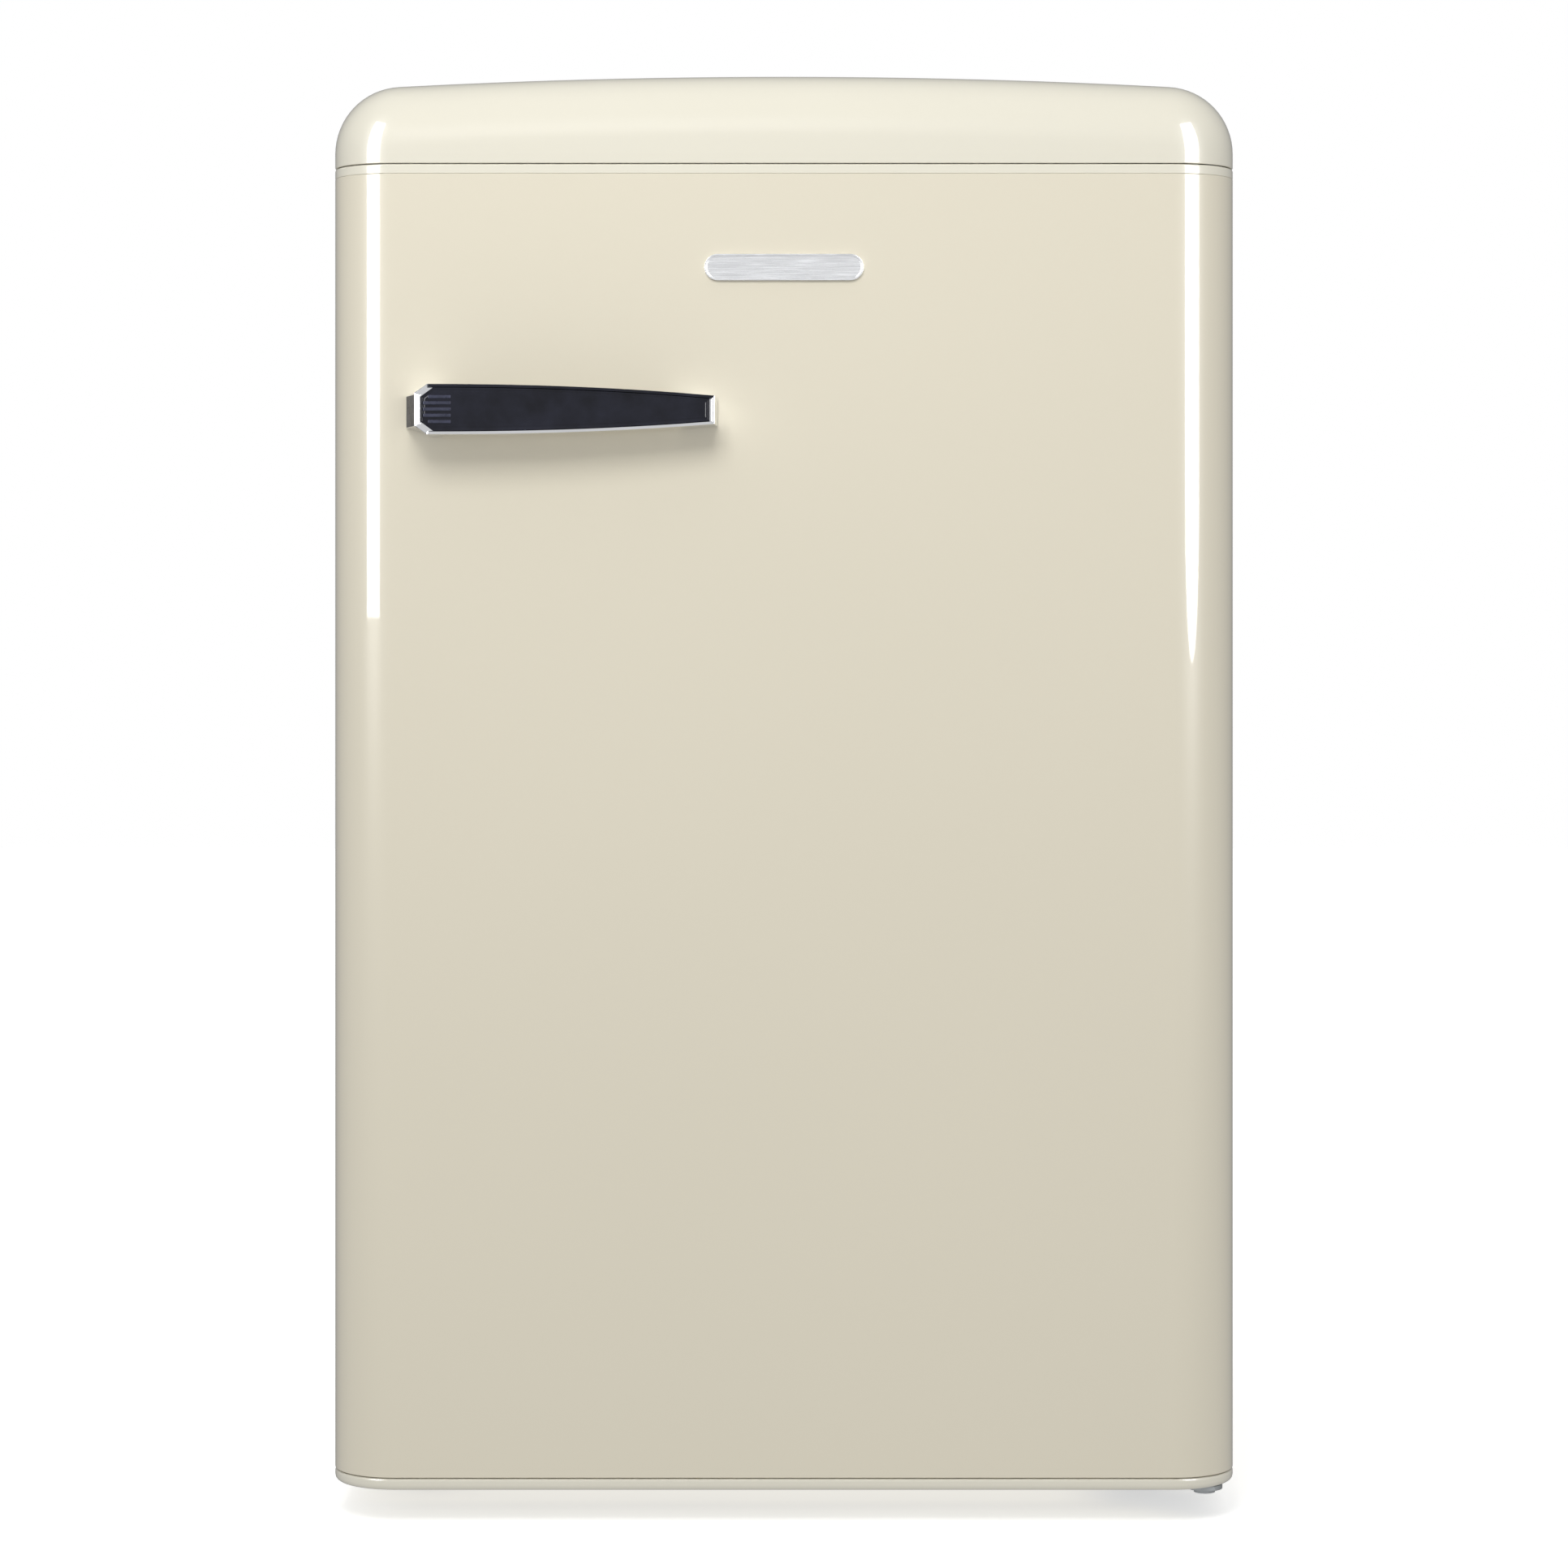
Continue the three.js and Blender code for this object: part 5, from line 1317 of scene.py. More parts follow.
class REFRIGERATOR_OT_door_liner(bpy.types.Operator):
    """Builds the formed door liner: raised frame, toe field, striker and lugs, and the seal"""

    bl_idname = "refrigerator.door_liner"
    bl_label = "Door liner and seal"

    def execute(self, context):
        sizes = context.scene.refrigerator_sizes
        low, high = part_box("door_liner")
        face = low.y + sizes.liner_wall
        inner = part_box("upper_balcony")[1].x + FIT
        outer = inner + sizes.ridge_width
        ridge_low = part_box("bottle_rack")[0].z - 5 * MM - sizes.ridge_width
        seal_low, seal_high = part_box("door_gasket")
        ridge_high = seal_high.z - 44 * MM
        toe_half, toe_low = outer - 16 * MM, seal_low.z + 40 * MM
        toe_high = ridge_low - 20 * MM
        panel = add_block("door_liner_shell", (low.x, low.y, low.z), (high.x, face, high.z))
        cut(panel, X, -outer, -inner, -toe_half, toe_half, inner, outer)
        inside_low, inside_high = ridge_low + sizes.ridge_width, ridge_high - sizes.ridge_width
        cut(panel, Z, toe_low, toe_high, ridge_low, inside_low, inside_high, ridge_high)

        def on_ridge(at, way):
            within = abs(at.x) < outer and ridge_low < at.z < ridge_high
            hollow = abs(at.x) < inner and inside_low < at.z < inside_high
            return way.y > 0.9 and within and not hollow

        def on_toe(at, way):
            return way.y > 0.9 and abs(at.x) < toe_half and toe_low < at.z < toe_high

        with shaping(panel):
            pick_faces(lambda at, way: not way.y > 0.9)
            delete_faces()
            pick_faces(on_toe)
            extrude((0, sizes.toe_height, 0))
            top = face + sizes.toe_height
            pick_edges(lambda a, b: near(a.y, top) and near(b.y, top) and self.rim(a, b, toe_half))
            bevel(2.2 * MM, 4)
            pick_faces(on_ridge)
            extrude((0, sizes.ridge_height, 0))
            crest = face + sizes.ridge_height
            pick_edges(lambda a, b: self.sharp(a, b, crest, (outer, inner), (
                ridge_low, inside_low, inside_high, ridge_high)))
            bevel(sizes.ridge_round, 5)
        thicken(panel, sizes.liner_wall)
        parts = [self.striker(face), *self.lugs(face, inner)]
        join(panel, *parts)
        complete(panel, "door", "white_plastic", "white", "door_liner")
        self.seal(seal_low, seal_high)
        return {"FINISHED"}

    def rim(self, a, b, toe_half):
        """True for an edge round the toe field."""
        middle = (a + b) / 2
        upright = near(a.x, b.x) and near(abs(a.x), toe_half)
        return upright or near(a.z, b.z) and abs(middle.x) < toe_half

    def sharp(self, a, b, crest, xs, zs):
        """True for an edge along the crest of the raised frame."""
        if not (near(a.y, crest) and near(b.y, crest)):
            return False
        along_z = near(a.x, b.x) and any(near(abs(a.x), x) for x in xs)
        along_x = near(a.z, b.z) and any(near(a.z, z) for z in zs)
        middle = (a + b) / 2
        if along_z:
            inner_edge = near(abs(a.x), xs[1])
            return not inner_edge or zs[1] < middle.z < zs[2]
        if along_x:
            inner_edge = near(a.z, zs[1]) or near(a.z, zs[2])
            return not inner_edge or abs(middle.x) < xs[1]
        return False

    def striker(self, face):
        """The block that presses the light switch."""
        low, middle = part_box("switch_plunger")[0], core("switch_plunger")[0]
        block = add_block(
            "striker", (middle.x - 8 * MM, face - MM, middle.z - 7 * MM),
            (middle.x + 8 * MM, low.y - 0.4 * MM, middle.z + 7 * MM),
        )
        with shaping(block):
            pick_facing(Y)
            stretch((0.86, 1, 0.86), middle)
        soften(block, 1.4 * MM, 3)
        return block

    def lugs(self, face, inner):
        """The pairs of lugs that the balconies hang on."""
        made = []
        for node in ("upper_balcony", "middle_balcony", "bottle_rack"):
            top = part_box(node)[1].z - 8 * MM
            for side in (-1, 1):
                x = pair(side, inner - 4 * MM, inner + MM)
                lug = add_soft_block(
                    "lug", (x[0], face + 14 * MM, top - 9 * MM), (x[1], face + 22 * MM, top),
                    0.8 * MM, 2,
                )
                made.append(lug)
        return made

    def seal(self, low, high):
        """Soft magnetic seal: a flat foot, a bellows and a cushion."""
        width = 14 * MM
        ring = add_ring(
            "door_seal", low.y, high.y, (low.x, low.z, high.x, high.z),
            (low.x + width, low.z + width, high.x - width, high.z - width),
        )
        deep = high.y - low.y
        first, second = low.y + 0.28 * deep, low.y + 0.5 * deep
        cut(ring, Y, first, second)
        with shaping(ring):
            pick_faces(lambda at, way: first < at.y < second and abs(way.y) < 0.1)
            inset(0.8 * MM, -2.2 * MM)
        soften(ring, 1.3 * MM, 3)
        complete(ring, "door", "grey_seal", "seal", "door_gasket")


class REFRIGERATOR_OT_shelves(bpy.types.Operator):
    """Finishes the glass shelves and the trims along their front edges"""

    bl_idname = "refrigerator.shelves"
    bl_label = "Shelves"

    def execute(self, context):
        for level in ("shelf_upper", "shelf_lower", "crisper_cover"):
            for part, name, width, segments, slot, finish in (
                ("glass", "pane", 0.8 * MM, 3, "shelf_glass", "glass"),
                ("trim", "edging", 0.85 * MM, 4, "white_plastic", "white"),
            ):
                node, name = f"{level}_{part}", f"{level}_{name}"
                dress(node, name, width, segments, "cabinet", slot, finish)
        return {"FINISHED"}


class REFRIGERATOR_OT_crisper(bpy.types.Operator):
    """Builds the clear crisper drawer with its front lip and moulded flutes"""

    bl_idname = "refrigerator.crisper"
    bl_label = "Crisper drawer"

    def execute(self, context):
        sizes = context.scene.refrigerator_sizes
        low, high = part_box("crisper_drawer")
        wall = sizes.tray_wall
        front, rim = low.y + 9 * MM, high.z - 5 * MM
        tray = add_tray(
            "crisper_tray", (low.x, front, low.z), (high.x, high.y, rim), wall, sizes.tray_round
        )
        self.raise_front(tray, low, high, front, rim, wall)
        flutes = []
        for i in range(-6, 7):
            x = i * 30 * MM
            flute = add_soft_block(
                "flute", (x - 2 * MM, front - 1.0 * MM, low.z + 26 * MM),
                (x + 2 * MM, front + 0.4 * MM, rim - 34 * MM),
                0.9 * MM, 3,
            )
            flutes.append(flute)
        join(*flutes)
        fuse(tray, flutes[0])
        complete(tray, "crisper", "clear_plastic", "clear", "crisper_drawer")
        return {"FINISHED"}

    def raise_front(self, tray, low, high, front, rim, wall):
        """Carries the front wall above the rim, and folds a finger lip out of its middle."""
        half = (high.x - low.x) / 4
        under = high.z - wall
        with shaping(tray):
            pick_faces(lambda at, way: way.z > 0.9 and at.y < front + wall and near(at.z, rim, MM))
            extrude((0, 0, under - rim))
            extrude((0, 0, wall))
            for x in (-half, half):
                pick_all()
                bpy.ops.mesh.bisect(plane_co=(x, 0, 0), plane_no=X)
            pick_faces(lambda at, way: way.y < -0.9 and at.z > under and abs(at.x) < half)
            extrude((0, low.y + wall - front, 0))
            extrude((0, -wall, 0))
            pick_faces(lambda at, way: way.z < -0.9 and at.y < low.y + wall and at.z > rim)
            extrude((0, 0, wall - 16 * MM))
        soften(tray, 0.6 * MM, 2)


class REFRIGERATOR_OT_balconies(bpy.types.Operator):
    """Builds the three clear balconies of the door, with ears that hang on its lugs"""

    bl_idname = "refrigerator.balconies"
    bl_label = "Balconies"

    def execute(self, context):
        for node in ("upper_balcony", "middle_balcony", "bottle_rack"):
            self.balcony(node, context.scene.refrigerator_sizes)
        return {"FINISHED"}

    def balcony(self, node, sizes):
        """One balcony: rounded tray, front bead and two slotted ears."""
        low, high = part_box(node)
        wall, half = sizes.tray_wall, high.x - 4.7 * MM
        tray = add_tray(
            f"{node}_tray", (-half, low.y, low.z), (half, high.y, high.z), wall, sizes.tray_round
        )
        bead = add_soft_block(
            "bead", (-half + 8 * MM, high.y - wall - MM, high.z - 5 * MM),
            (half - 8 * MM, high.y - 0.4 * MM, high.z - 0.4 * MM),
            1.4 * MM, 3,
        )
        groove = add_soft_block(
            "groove", (-half + 12 * MM, high.y - wall - 0.8 * MM, low.z + 14 * MM),
            (half - 12 * MM, high.y - 0.2 * MM, low.z + 17 * MM),
            1 * MM, 3,
        )
        ears = []
        for side in (-1, 1):
            x = pair(side, half - wall / 2, high.x)
            ear = add_soft_block(
                "ear", (x[0], low.y + 9.7 * MM, high.z - 22 * MM),
                (x[1], low.y + 25.7 * MM, high.z - 0.3 * MM),
                0.9 * MM, 2,
            )
            open_x = pair(side, half, high.x + MM)
            slot = add_block(
                "slot", (open_x[0], low.y + 13.4 * MM, high.z - 23 * MM),
                (open_x[1], low.y + 22 * MM, high.z - 7.7 * MM),
            )
            subtract(ear, slot)
            ears.append(ear)
        fuse(tray, bead, groove, *ears)
        complete(tray, node, "clear_plastic", "clear", node)


class REFRIGERATOR_OT_controls(bpy.types.Operator):
    """Builds the control housing, lamp lens, thermostat knob and light switch"""

    bl_idname = "refrigerator.controls"
    bl_label = "Controls"

    def execute(self, context):
        low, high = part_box("control_housing")
        lens_low, lens_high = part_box("lamp_lens")
        knob_low, knob_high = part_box("thermostat_knob")
        plunger_low, plunger_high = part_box("switch_plunger")
        knob_at, switch = core("thermostat_knob")[0], core("switch_plunger")[0]
        case = add_tray("control_case", low, high, 2 * MM, 6 * MM)
        window = add_block(
            "window", (lens_low.x + 3 * MM, lens_low.y + 3 * MM, low.z - 5 * MM),
            (lens_high.x - 3 * MM, lens_high.y - 3 * MM, low.z + 8 * MM),
        )
        subtract(case, window)
        hole = add_rod("hole", Z, (knob_at.x, knob_at.y, low.z - MM),
                       (knob_at.x, knob_at.y, low.z + 5 * MM), 4.3 * MM)
        subtract(case, hole)
        bore = add_rod("bore", Y, (switch.x, low.y - MM, switch.z),
                       (switch.x, low.y + 5 * MM, switch.z), 3.8 * MM)
        subtract(case, bore)
        ticks = [self.tick(knob_at, low.z, i) for i in range(7)]
        vents = []
        for i in range(6):
            x = low.x + 20 * MM + i * 11 * MM
            vents.append(add_soft_block(
                "vent", (x, low.y - MM, low.z + 13 * MM),
                (x + 3 * MM, low.y + 4 * MM, high.z - 9 * MM), 1.2 * MM, 3,
            ))
        for vent in vents:
            subtract(case, vent)
        join(case, *ticks)
        complete(case, "cabinet", "white_plastic", "white", "control_housing")
        self.lens(lens_low, lens_high)
        self.knob(knob_at, knob_low, knob_high)
        plunger = add_turned(
            "door_switch", (switch.x, plunger_low.y, switch.z),
            [(0, 0), (2.4 * MM, 0), (3.2 * MM, 0.5 * MM), (3.5 * MM, 1.6 * MM),
             (3.5 * MM, plunger_high.y - plunger_low.y), (0, plunger_high.y - plunger_low.y)],
            32, Y,
        )
        complete(plunger, "plunger", "white_plastic", "white", "switch_plunger")
        return {"FINISHED"}

    def tick(self, at, z, i):
        """One raised mark round the knob, longer as the setting rises."""
        turn = math.radians(-45 - 45 * i)
        size = (1.2 + 0.5 * i) * MM
        mark = add_soft_block(
            "tick", (at.x + 19 * MM, at.y - 0.5 * MM, z - 0.35 * MM),
            (at.x + 19 * MM + size, at.y + 0.5 * MM, z + 0.4 * MM),
            0.2 * MM, 1,
        )
        with shaping(mark):
            pick_all()
            bpy.ops.transform.rotate(
                value=turn, orient_axis="Z", center_override=(at.x, at.y, z)
            )
        return mark

    def lens(self, low, high):
        """Clear lamp cover with prisms across it."""
        cover = add_tray("lamp_cover", low, high, 1.6 * MM, 2.4 * MM)
        prisms = []
        for i in range(12):
            y = low.y + 8 * MM + i * (high.y - low.y - 16 * MM) / 11
            prism = add_rod(
                "prism", X, (low.x + 4 * MM, y, low.z + 2.1 * MM),
                (high.x - 4 * MM, y, low.z + 2.1 * MM), 1.7 * MM, 6,
            )
            prisms.append(prism)
        join(cover, *prisms)
        complete(cover, "cabinet", "clear_plastic", "clear", "lamp_lens", degrees=25)

    def knob(self, at, low, high):
        """Fluted knob with a finger bar and a pointer."""
        face, skirt = low.z + 3 * MM, low.z + 16 * MM
        radius = (high.x - low.x) / 2
        dial = add_turned(
            "thermostat_dial", (at.x, at.y, 0),
            [(0, face), (radius - 4 * MM, face), (radius - 1.6 * MM, face + 1.2 * MM),
             (radius - 0.6 * MM, face + 3 * MM), (radius, skirt), (4 * MM, skirt),
             (4 * MM, high.z), (0, high.z)], 72,
        )
        with shaping(dial):
            pick_faces(
                lambda p, way: abs(way.z) < 0.5 and (p - at).xy.length > radius - 2 * MM
                and sector(p - at) % 2
            )
            stretch((0.95, 0.95, 1), at)
        bar = add_soft_block(
            "finger_bar", (at.x - radius + 2 * MM, at.y - 4 * MM, low.z),
            (at.x + radius - 2 * MM, at.y + 4 * MM, face + MM),
            1.3 * MM, 3,
        )
        mark = add_block(
            "pointer", (at.x + radius - 8 * MM, at.y - 0.6 * MM, low.z),
            (at.x + radius - 3 * MM, at.y + 0.6 * MM, low.z + 0.6 * MM),
        )
        join(dial, bar, mark)
        complete(dial, "knob", "white_plastic", "white", "thermostat_knob", degrees=30)


class REFRIGERATOR_OT_hinges(bpy.types.Operator):
    """Finishes the hinge plates, their pins and bushes, and adds the hinge screws"""

    bl_idname = "refrigerator.hinges"
    bl_label = "Hinges"

    def execute(self, context):
        for level in ("upper", "lower"):
            for part, name, width, body, slot, finish in (
                ("bracket", "plate", 0.5 * MM, "cabinet", "zinc_plate", "zinc"),
                ("pin", "pivot", 0.3 * MM, "cabinet", "zinc_plate", "zinc"),
                ("bush", "sleeve", 0.3 * MM, "door", "white_plastic", "white"),
            ):
                node, name = f"{level}_hinge_{part}", f"{level}_hinge_{name}"
                dress(node, name, width, 2, body, slot, finish)
        self.screws()
        return {"FINISHED"}

    def screws(self):
        """Two hexagon screws under the lower plate."""
        low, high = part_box("lower_hinge_bracket")
        head_low = low.z - 2.2 * MM
        made = []
        for x in (low.x + 11 * MM, high.x - 22 * MM):
            head = add_rod(
                "screw_head", Z, (x, high.y - 11 * MM, head_low), (x, high.y - 11 * MM, low.z),
                4.2 * MM, 6,
            )
            soften(head, 0.4 * MM, 2)
            made.append(head)
        screws = made[0]
        screws.name = screws.data.name = "lower_hinge_screws"
        join(screws, *made[1:])
        complete(screws, "cabinet", "zinc_plate", "zinc")


class REFRIGERATOR_OT_feet(bpy.types.Operator):
    """Builds the four levelling feet, with grip round each pad"""

    bl_idname = "refrigerator.feet"
    bl_label = "Feet"

    def execute(self, context):
        feet = {
            "front_foot_left": ("levelling_foot_left", "foot_left"),
            "front_foot_right": ("levelling_foot_right", "foot_right"),
            "rear_foot_left": ("rear_foot_pad_left", "cabinet"),
            "rear_foot_right": ("rear_foot_pad_right", "cabinet"),
        }
        foot = self.foot()
        first = core("front_foot_left")[0]
        for node, (name, body) in feet.items():
            piece = copy(foot, name, core(node)[0] - first)
            complete(piece, body, "black_plastic", "black_moulding", node)
        bpy.data.objects.remove(foot)
        return {"FINISHED"}

    def foot(self):
        """Turned foot with a ribbed rim and a stem."""
        at, radius = core("front_foot_left")
        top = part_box("front_foot_left")[1].z
        foot = add_turned(
            "foot", (at.x, at.y, 0),
            [(0, 0), (radius - 2 * MM, 0), (radius - 0.6 * MM, 0.5 * MM), (radius, 1.5 * MM),
             (radius, 5.5 * MM), (radius - 0.8 * MM, 6.6 * MM), (radius - 6 * MM, 8 * MM),
             (7 * MM, 8.6 * MM), (7 * MM, 19.4 * MM), (4 * MM, 19.7 * MM), (4 * MM, top - MM),
             (3 * MM, top), (0, top)], 72,
        )
        with shaping(foot):
            pick_faces(
                lambda p, way: near(p.z, 3.5 * MM) and sector(p - at) % 3 == 0
            )
            inset(0.1 * MM, -0.9 * MM)
        return foot


class REFRIGERATOR_OT_compressor(bpy.types.Operator):
    """Builds the compressor with its rail, grommets, relay cover, gland and evaporation tray"""

    bl_idname = "refrigerator.compressor"
    bl_label = "Compressor"
    HALF_LENGTH = 92 * MM  # of the shell, with its stubs left out
    STRETCH = 92 / 70  # of the turned shell along X

    def execute(self, context):
        self.pot()
        for i in range(1, 5):
            node = f"compressor_grommet_{i}"
            low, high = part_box(node)
            (at, r), tall = core(node), high.z - low.z
            mount = add_turned(
                f"rubber_mount_{i}", (at.x, at.y, low.z),
                [(0, 0), (r - 0.6 * MM, 0), (r, 0.7 * MM), (r, 0.26 * tall),
                 (r - 1.2 * MM, 0.36 * tall), (r - 3 * MM, 0.45 * tall), (r - 3 * MM, 0.6 * tall),
                 (r - 1.6 * MM, 0.74 * tall), (r - MM, 0.8 * tall), (r - MM, tall), (0, tall)], 32,
            )
            complete(mount, "cabinet", "black_rubber", "black_rubber", node)
        dress("compressor_rail", "mounting_rail", 0.5 * MM, 2, "cabinet", "zinc_plate", "zinc")
        self.relay()
        tray_low, tray_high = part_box("evaporation_tray")
        tray = add_tray("drip_tray", tray_low, tray_high, 2 * MM, 4 * MM)
        soften(tray, 0.5 * MM, 2)
        complete(tray, "cabinet", "black_plastic", "black_moulding", "evaporation_tray")
        return {"FINISHED"}

    def pot(self):
        """Two pressed bowls with a welded flange, on a pressed foot plate."""
        low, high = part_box("compressor_pot")
        middle_y = (low.y + high.y) / 2
        half_y = (high.y - low.y) / 2
        middle_x = low.x + self.HALF_LENGTH
        base = low.z + 2.5 * MM
        tall = high.z - base
        r = half_y - 4 * MM
        profile = [
            (0, 0), (0.62 * r, 0), (0.74 * r, 0.015 * tall), (0.88 * r, 0.07 * tall),
            (0.96 * r, 0.17 * tall), (r, 0.30 * tall), (r, 0.415 * tall),
            (r + 3.6 * MM, 0.42 * tall), (r + 4 * MM, 0.43 * tall), (r + 4 * MM, 0.45 * tall),
            (r + 3.6 * MM, 0.46 * tall), (r, 0.465 * tall), (0.995 * r, 0.60 * tall),
            (0.97 * r, 0.72 * tall), (0.90 * r, 0.84 * tall), (0.78 * r, 0.925 * tall),
            (0.60 * r, 0.975 * tall), (0.38 * r, 0.995 * tall), (0, tall),
        ]
        pot = add_turned("compressor_shell", (middle_x, middle_y, base), profile, 64)
        with shaping(pot):
            pick_all()
            stretch((self.STRETCH, 1, 1), (middle_x, middle_y, base))
        plate = add_block(
            "foot_plate", (middle_x - 80 * MM, middle_y - 56 * MM, low.z),
            (middle_x + 80 * MM, middle_y + 56 * MM, base + MM),
        )
        with shaping(plate):
            pick_edges(lambda a, b: near(a.x, b.x) and near(a.y, b.y))
            bevel(12 * MM, 6)
        soften(plate, 0.7 * MM, 2)
        stubs = []
        for side, share in ((-1, 0.28), (1, 0.62)):
            y, z = middle_y + side * 20 * MM, base + share * tall
            stub = add_rod("stub", X, (middle_x + 60 * MM, y, z), (high.x, y, z), 3 * MM, 24)
            collar = add_turned(
                "collar", (middle_x + 80 * MM, y, z),
                [(3 * MM, 0), (6.5 * MM, 0), (6 * MM, 6 * MM), (4.2 * MM, 9 * MM),
                 (3 * MM, 9.5 * MM)], 24, X,
            )
            stubs += [stub, collar]
        join(pot, plate, *stubs)
        complete(pot, "cabinet", "black_enamel", "lacquer", "compressor_pot")

    def relay(self):
        """Relay cover with ribs, and the ribbed cord gland."""
        low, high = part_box("relay_cover")
        cover = add_block("relay_housing", low, high)
        with shaping(cover):
            pick_edges(lambda a, b: not (near(a.x, high.x) and near(b.x, high.x)))
            bevel(3.5 * MM, 4)
        ribs = []
        for i in range(5):
            z = low.z + 12 * MM + i * 9 * MM
            ribs.append(add_block(
                "rib", (low.x + 5 * MM, low.y, z), (high.x - 6 * MM, low.y + 2 * MM, z + 3 * MM)
            ))
        for rib in ribs:
            subtract(cover, rib)
        soften(cover, 0.4 * MM, 2)
        complete(cover, "cabinet", "black_plastic", "black_moulding", "relay_cover")
        gland_low, gland_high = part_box("mains_cord_gland")
        (at, r), deep = core("mains_cord_gland"), gland_high.y - gland_low.y
        profile = [(0, 0), (r, 0), (r, 0.2 * deep)]
        for i in range(3):
            start = 0.2 * deep + 0.22 * deep * i
            profile += [
                (0.72 * r, start + 0.04 * deep), (0.72 * r, start + 0.14 * deep),
                (0.9 * r, start + 0.16 * deep), (0.9 * r, start + 0.22 * deep),
            ]
        profile += [(0.62 * r, deep), (0.42 * r, deep), (0.42 * r, 0.4 * deep), (0, 0.4 * deep)]
        gland = add_turned("cord_gland", (at.x, gland_low.y, at.z), profile, 32, Y)
        complete(gland, "cabinet", "black_rubber", "black_rubber", "mains_cord_gland")


class REFRIGERATOR_OT_condenser(bpy.types.Operator):
    """Builds the condenser: one bent tube with many upright wires, and its stand-offs"""

    bl_idname = "refrigerator.condenser"
    bl_label = "Condenser"

    def execute(self, context):
        sizes = context.scene.refrigerator_sizes
        low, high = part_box("condenser_grid")
        tube = sizes.condenser_tube / 2
        y = low.y + tube
        first, top, pitch = coil_levels(sizes)
        end = high.x - tube
        straight = end - pitch / 2
        bends = []
        for i in range(sizes.condenser_runs - 1):
            x, z = end if i % 2 == 0 else -end, first + i * pitch
            bends += [(x, y, z), (x, y, z + pitch)]
        line = Line("condenser_coil", (-straight - tube, y, first))
        line.to((-straight, y, first), *bends, (straight + MM, y, top))
        coil = line.open()
        round_corners(coil, bends, pitch / 2, 10, 5e-5)
        coil = thicken_line(coil, tube, 2)
        outlet = add_tube(
            "outlet", [(-straight - tube, y, low.z), (-straight - tube, y, first),
                       (-straight + 4 * MM, y, first)], tube, 2.4 * MM, 2,
        )
        r = sizes.wire / 2
        wire = add_rod(
            "wire", Z, (0, high.y - r, first - 4 * MM), (0, high.y - r, top + 2 * MM), r, 8
        )
        wires = []
        for i in range(sizes.wires):
            x = -straight + 2 * straight * i / (sizes.wires - 1)
            wires.append(copy(wire, "wire_copy", (x, 0, 0)))
        bpy.data.objects.remove(wire)
        join(coil, outlet, *wires)
        complete(coil, "cabinet", "black_enamel", "lacquer", "condenser_grid", degrees=50)
        for i in range(1, 5):
            dress(
                f"condenser_bracket_{i}", f"condenser_clip_{i}", 0.8 * MM, 3,
                "cabinet", "black_plastic", "black_moulding",
            )
        return {"FINISHED"}


def coil_levels(sizes):
    """The condenser's lowest run, its highest run and the step between two runs."""
    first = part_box("condenser_grid")[0].z + sizes.condenser_tail + sizes.condenser_tube / 2
    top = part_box("discharge_pipe")[1].z - sizes.pipe
    return first, top, (top - first) / (sizes.condenser_runs - 1)


class REFRIGERATOR_OT_pipework(bpy.types.Operator):
    """Builds the discharge and suction pipes and the filter drier with its capillary"""

    bl_idname = "refrigerator.pipework"
    bl_label = "Pipework"

    def execute(self, context):
        sizes = context.scene.refrigerator_sizes
        r, bend = sizes.pipe, sizes.bend
        low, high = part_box("discharge_pipe")
        start = Vector((low.x, low.y + r, low.z + r))
        riser_x, riser_y, top = high.x - r, high.y - r, high.z - r
        coil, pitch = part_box("condenser_grid")[1].x, coil_levels(sizes)[2]
        inlet = coil - sizes.condenser_tube / 2 - pitch / 2 + 1.3 * MM
        discharge = add_tube(
            "hot_gas_pipe",
            [start, (riser_x, start.y, start.z), (riser_x, riser_y, start.z),
             (riser_x, riser_y, top), (inlet, riser_y, top)], r, bend,
        )
        place(discharge, "cabinet", "copper_pipe", "copper", "discharge_pipe")
        low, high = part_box("suction_pipe")
        x, y = high.x - r, (low.y + high.y) / 2
        suction = add_tube(
            "return_pipe", [(x, y, high.z), (x, y, low.z + r), (low.x, y, low.z + r)], r, bend
        )
        place(suction, "cabinet", "copper_pipe", "copper", "suction_pipe")
        self.drier(sizes)
        return {"FINISHED"}

    def drier(self, sizes):
        """Spun drier can with its inlet and the thin capillary."""
        r, bend = sizes.pipe, sizes.bend
        low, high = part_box("filter_drier")
        can_r, top, deep = sizes.drier_radius, sizes.drier_top, sizes.drier_length
        x, y = low.x + can_r, low.y + can_r
        back = high.y - r
        neck, bottom = r + MM, top - deep
        can = add_turned(
            "drier", (x, y, bottom),
            [(0, 0), (neck, 0), (neck, 3 * MM), (neck + MM, 5 * MM), (can_r - 2 * MM, 9 * MM),
             (can_r, 13 * MM), (can_r, 20 * MM), (can_r - 0.7 * MM, 21.5 * MM),
             (can_r, 23 * MM), (can_r, deep - 23 * MM), (can_r - 0.7 * MM, deep - 21.5 * MM),
             (can_r, deep - 20 * MM), (can_r, deep - 13 * MM), (can_r - 2 * MM, deep - 9 * MM),
             (neck + MM, deep - 5 * MM), (neck, deep - 3 * MM), (neck, deep), (0, deep)], 40,
        )
        feed = add_tube(
            "feed", [(x, y, top - 6 * MM), (x, y, top + 18 * MM), (x, back, top + 34 * MM),
                     (x, back, high.z)], r, bend,
        )
        out = bottom - 26 * MM
        capillary = add_tube(
            "capillary", [(x, y, bottom + 6 * MM), (x, y, out), (x + 34 * MM, y, out),
                          (x + 34 * MM, y, sizes.capillary_top)], sizes.capillary, bend, 2,
        )
        join(can, feed, capillary)
        complete(can, "cabinet", "copper_pipe", "copper", "filter_drier")


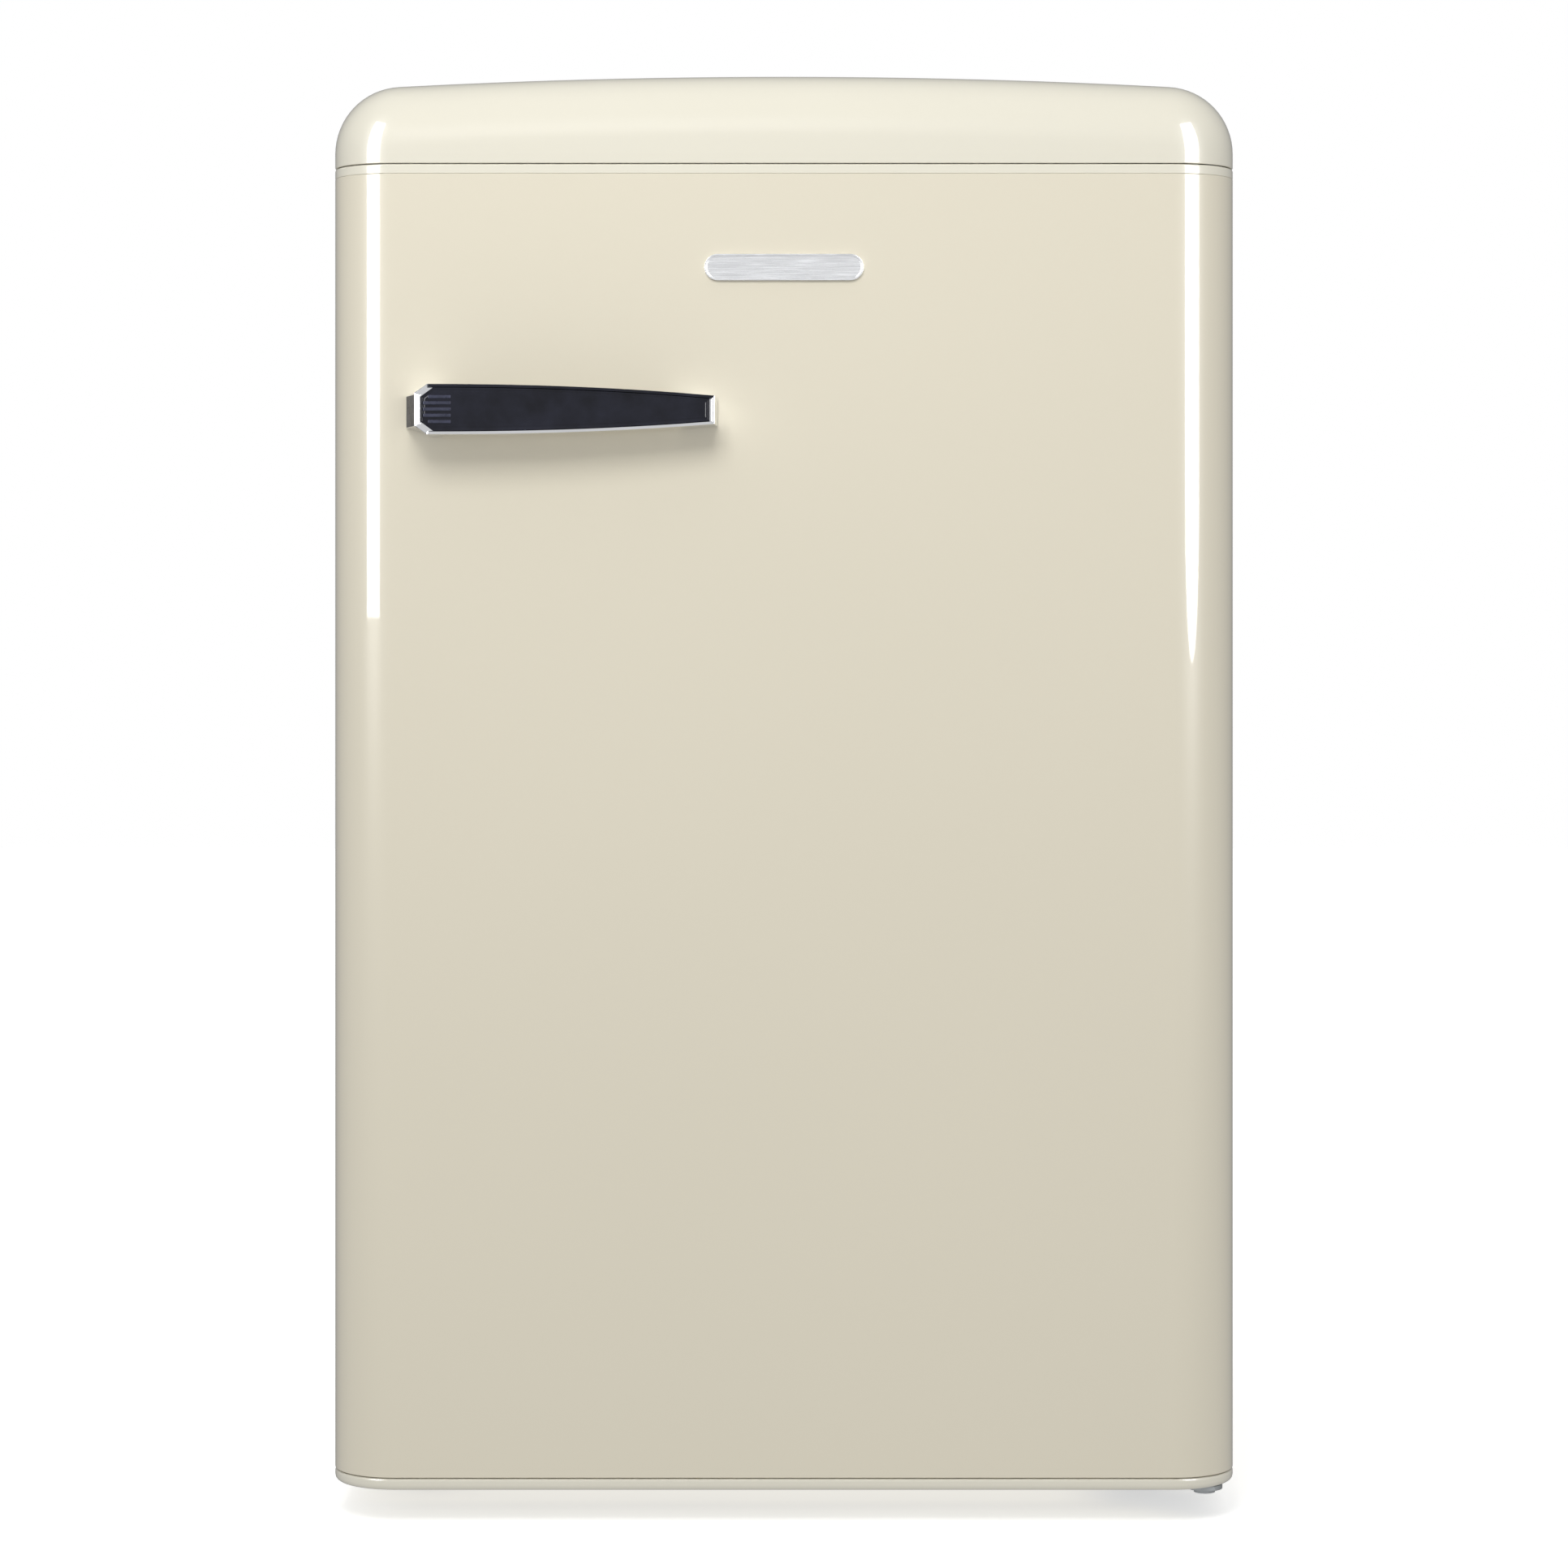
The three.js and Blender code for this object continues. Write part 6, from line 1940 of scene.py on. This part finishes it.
class REFRIGERATOR_OT_inside(bpy.types.Operator):
    """Finishes what lies inside the walls: the foam and the cold plate"""

    bl_idname = "refrigerator.inside"
    bl_label = "Inside the walls"

    def execute(self, context):
        nodes = {
            "cabinet_insulation": "foam",
            "door_insulation": "foam",
            "evaporator_plate": "cold_plate",
        }
        for node, finish in nodes.items():
            for holder in frame["nodes"][node].material_slots:
                holder.material = FINISHES[finish]
        return {"FINISHED"}


class REFRIGERATOR_PT_panel(bpy.types.Panel):
    """Sizes, colours, stage and pieces of the refrigerator"""

    bl_label = "Under-counter refrigerator"
    bl_space_type = "VIEW_3D"
    bl_region_type = "UI"
    bl_category = "Refrigerator"

    def draw(self, context):
        scene = context.scene
        groups = (scene.refrigerator_sizes, scene.refrigerator_colours, scene.refrigerator_stage)
        for group in groups:
            box = self.layout.box()
            for name in group.__annotations__:
                box.prop(group, name)
        for piece in PIECES:
            self.layout.operator(piece.bl_idname)


PIECES = (
    REFRIGERATOR_OT_finishes,
    REFRIGERATOR_OT_stage,
    REFRIGERATOR_OT_top_cap,
    REFRIGERATOR_OT_door_shell,
    REFRIGERATOR_OT_handle,
    REFRIGERATOR_OT_cabinet,
    REFRIGERATOR_OT_liner,
    REFRIGERATOR_OT_door_liner,
    REFRIGERATOR_OT_shelves,
    REFRIGERATOR_OT_crisper,
    REFRIGERATOR_OT_balconies,
    REFRIGERATOR_OT_controls,
    REFRIGERATOR_OT_hinges,
    REFRIGERATOR_OT_feet,
    REFRIGERATOR_OT_compressor,
    REFRIGERATOR_OT_condenser,
    REFRIGERATOR_OT_pipework,
    REFRIGERATOR_OT_inside,
)
GROUPS = {
    "refrigerator_sizes": RefrigeratorSizes,
    "refrigerator_colours": RefrigeratorColours,
    "refrigerator_stage": RefrigeratorStage,
}


def register():
    """Registers the groups, the operators and the panel."""
    for name, group in GROUPS.items():
        bpy.utils.register_class(group)
        setattr(bpy.types.Scene, name, PointerProperty(type=group))
    for piece in (*PIECES, REFRIGERATOR_PT_panel):
        bpy.utils.register_class(piece)


def unregister():
    """Takes them all away again."""
    for piece in reversed((*PIECES, REFRIGERATOR_PT_panel)):
        bpy.utils.unregister_class(piece)
    for name, group in reversed(GROUPS.items()):
        delattr(bpy.types.Scene, name)
        bpy.utils.unregister_class(group)


def main():
    """Builds every piece."""
    register()
    for piece in PIECES:
        group, name = piece.bl_idname.split(".")
        getattr(getattr(bpy.ops, group), name)()


if __name__ == "__main__":
    main()
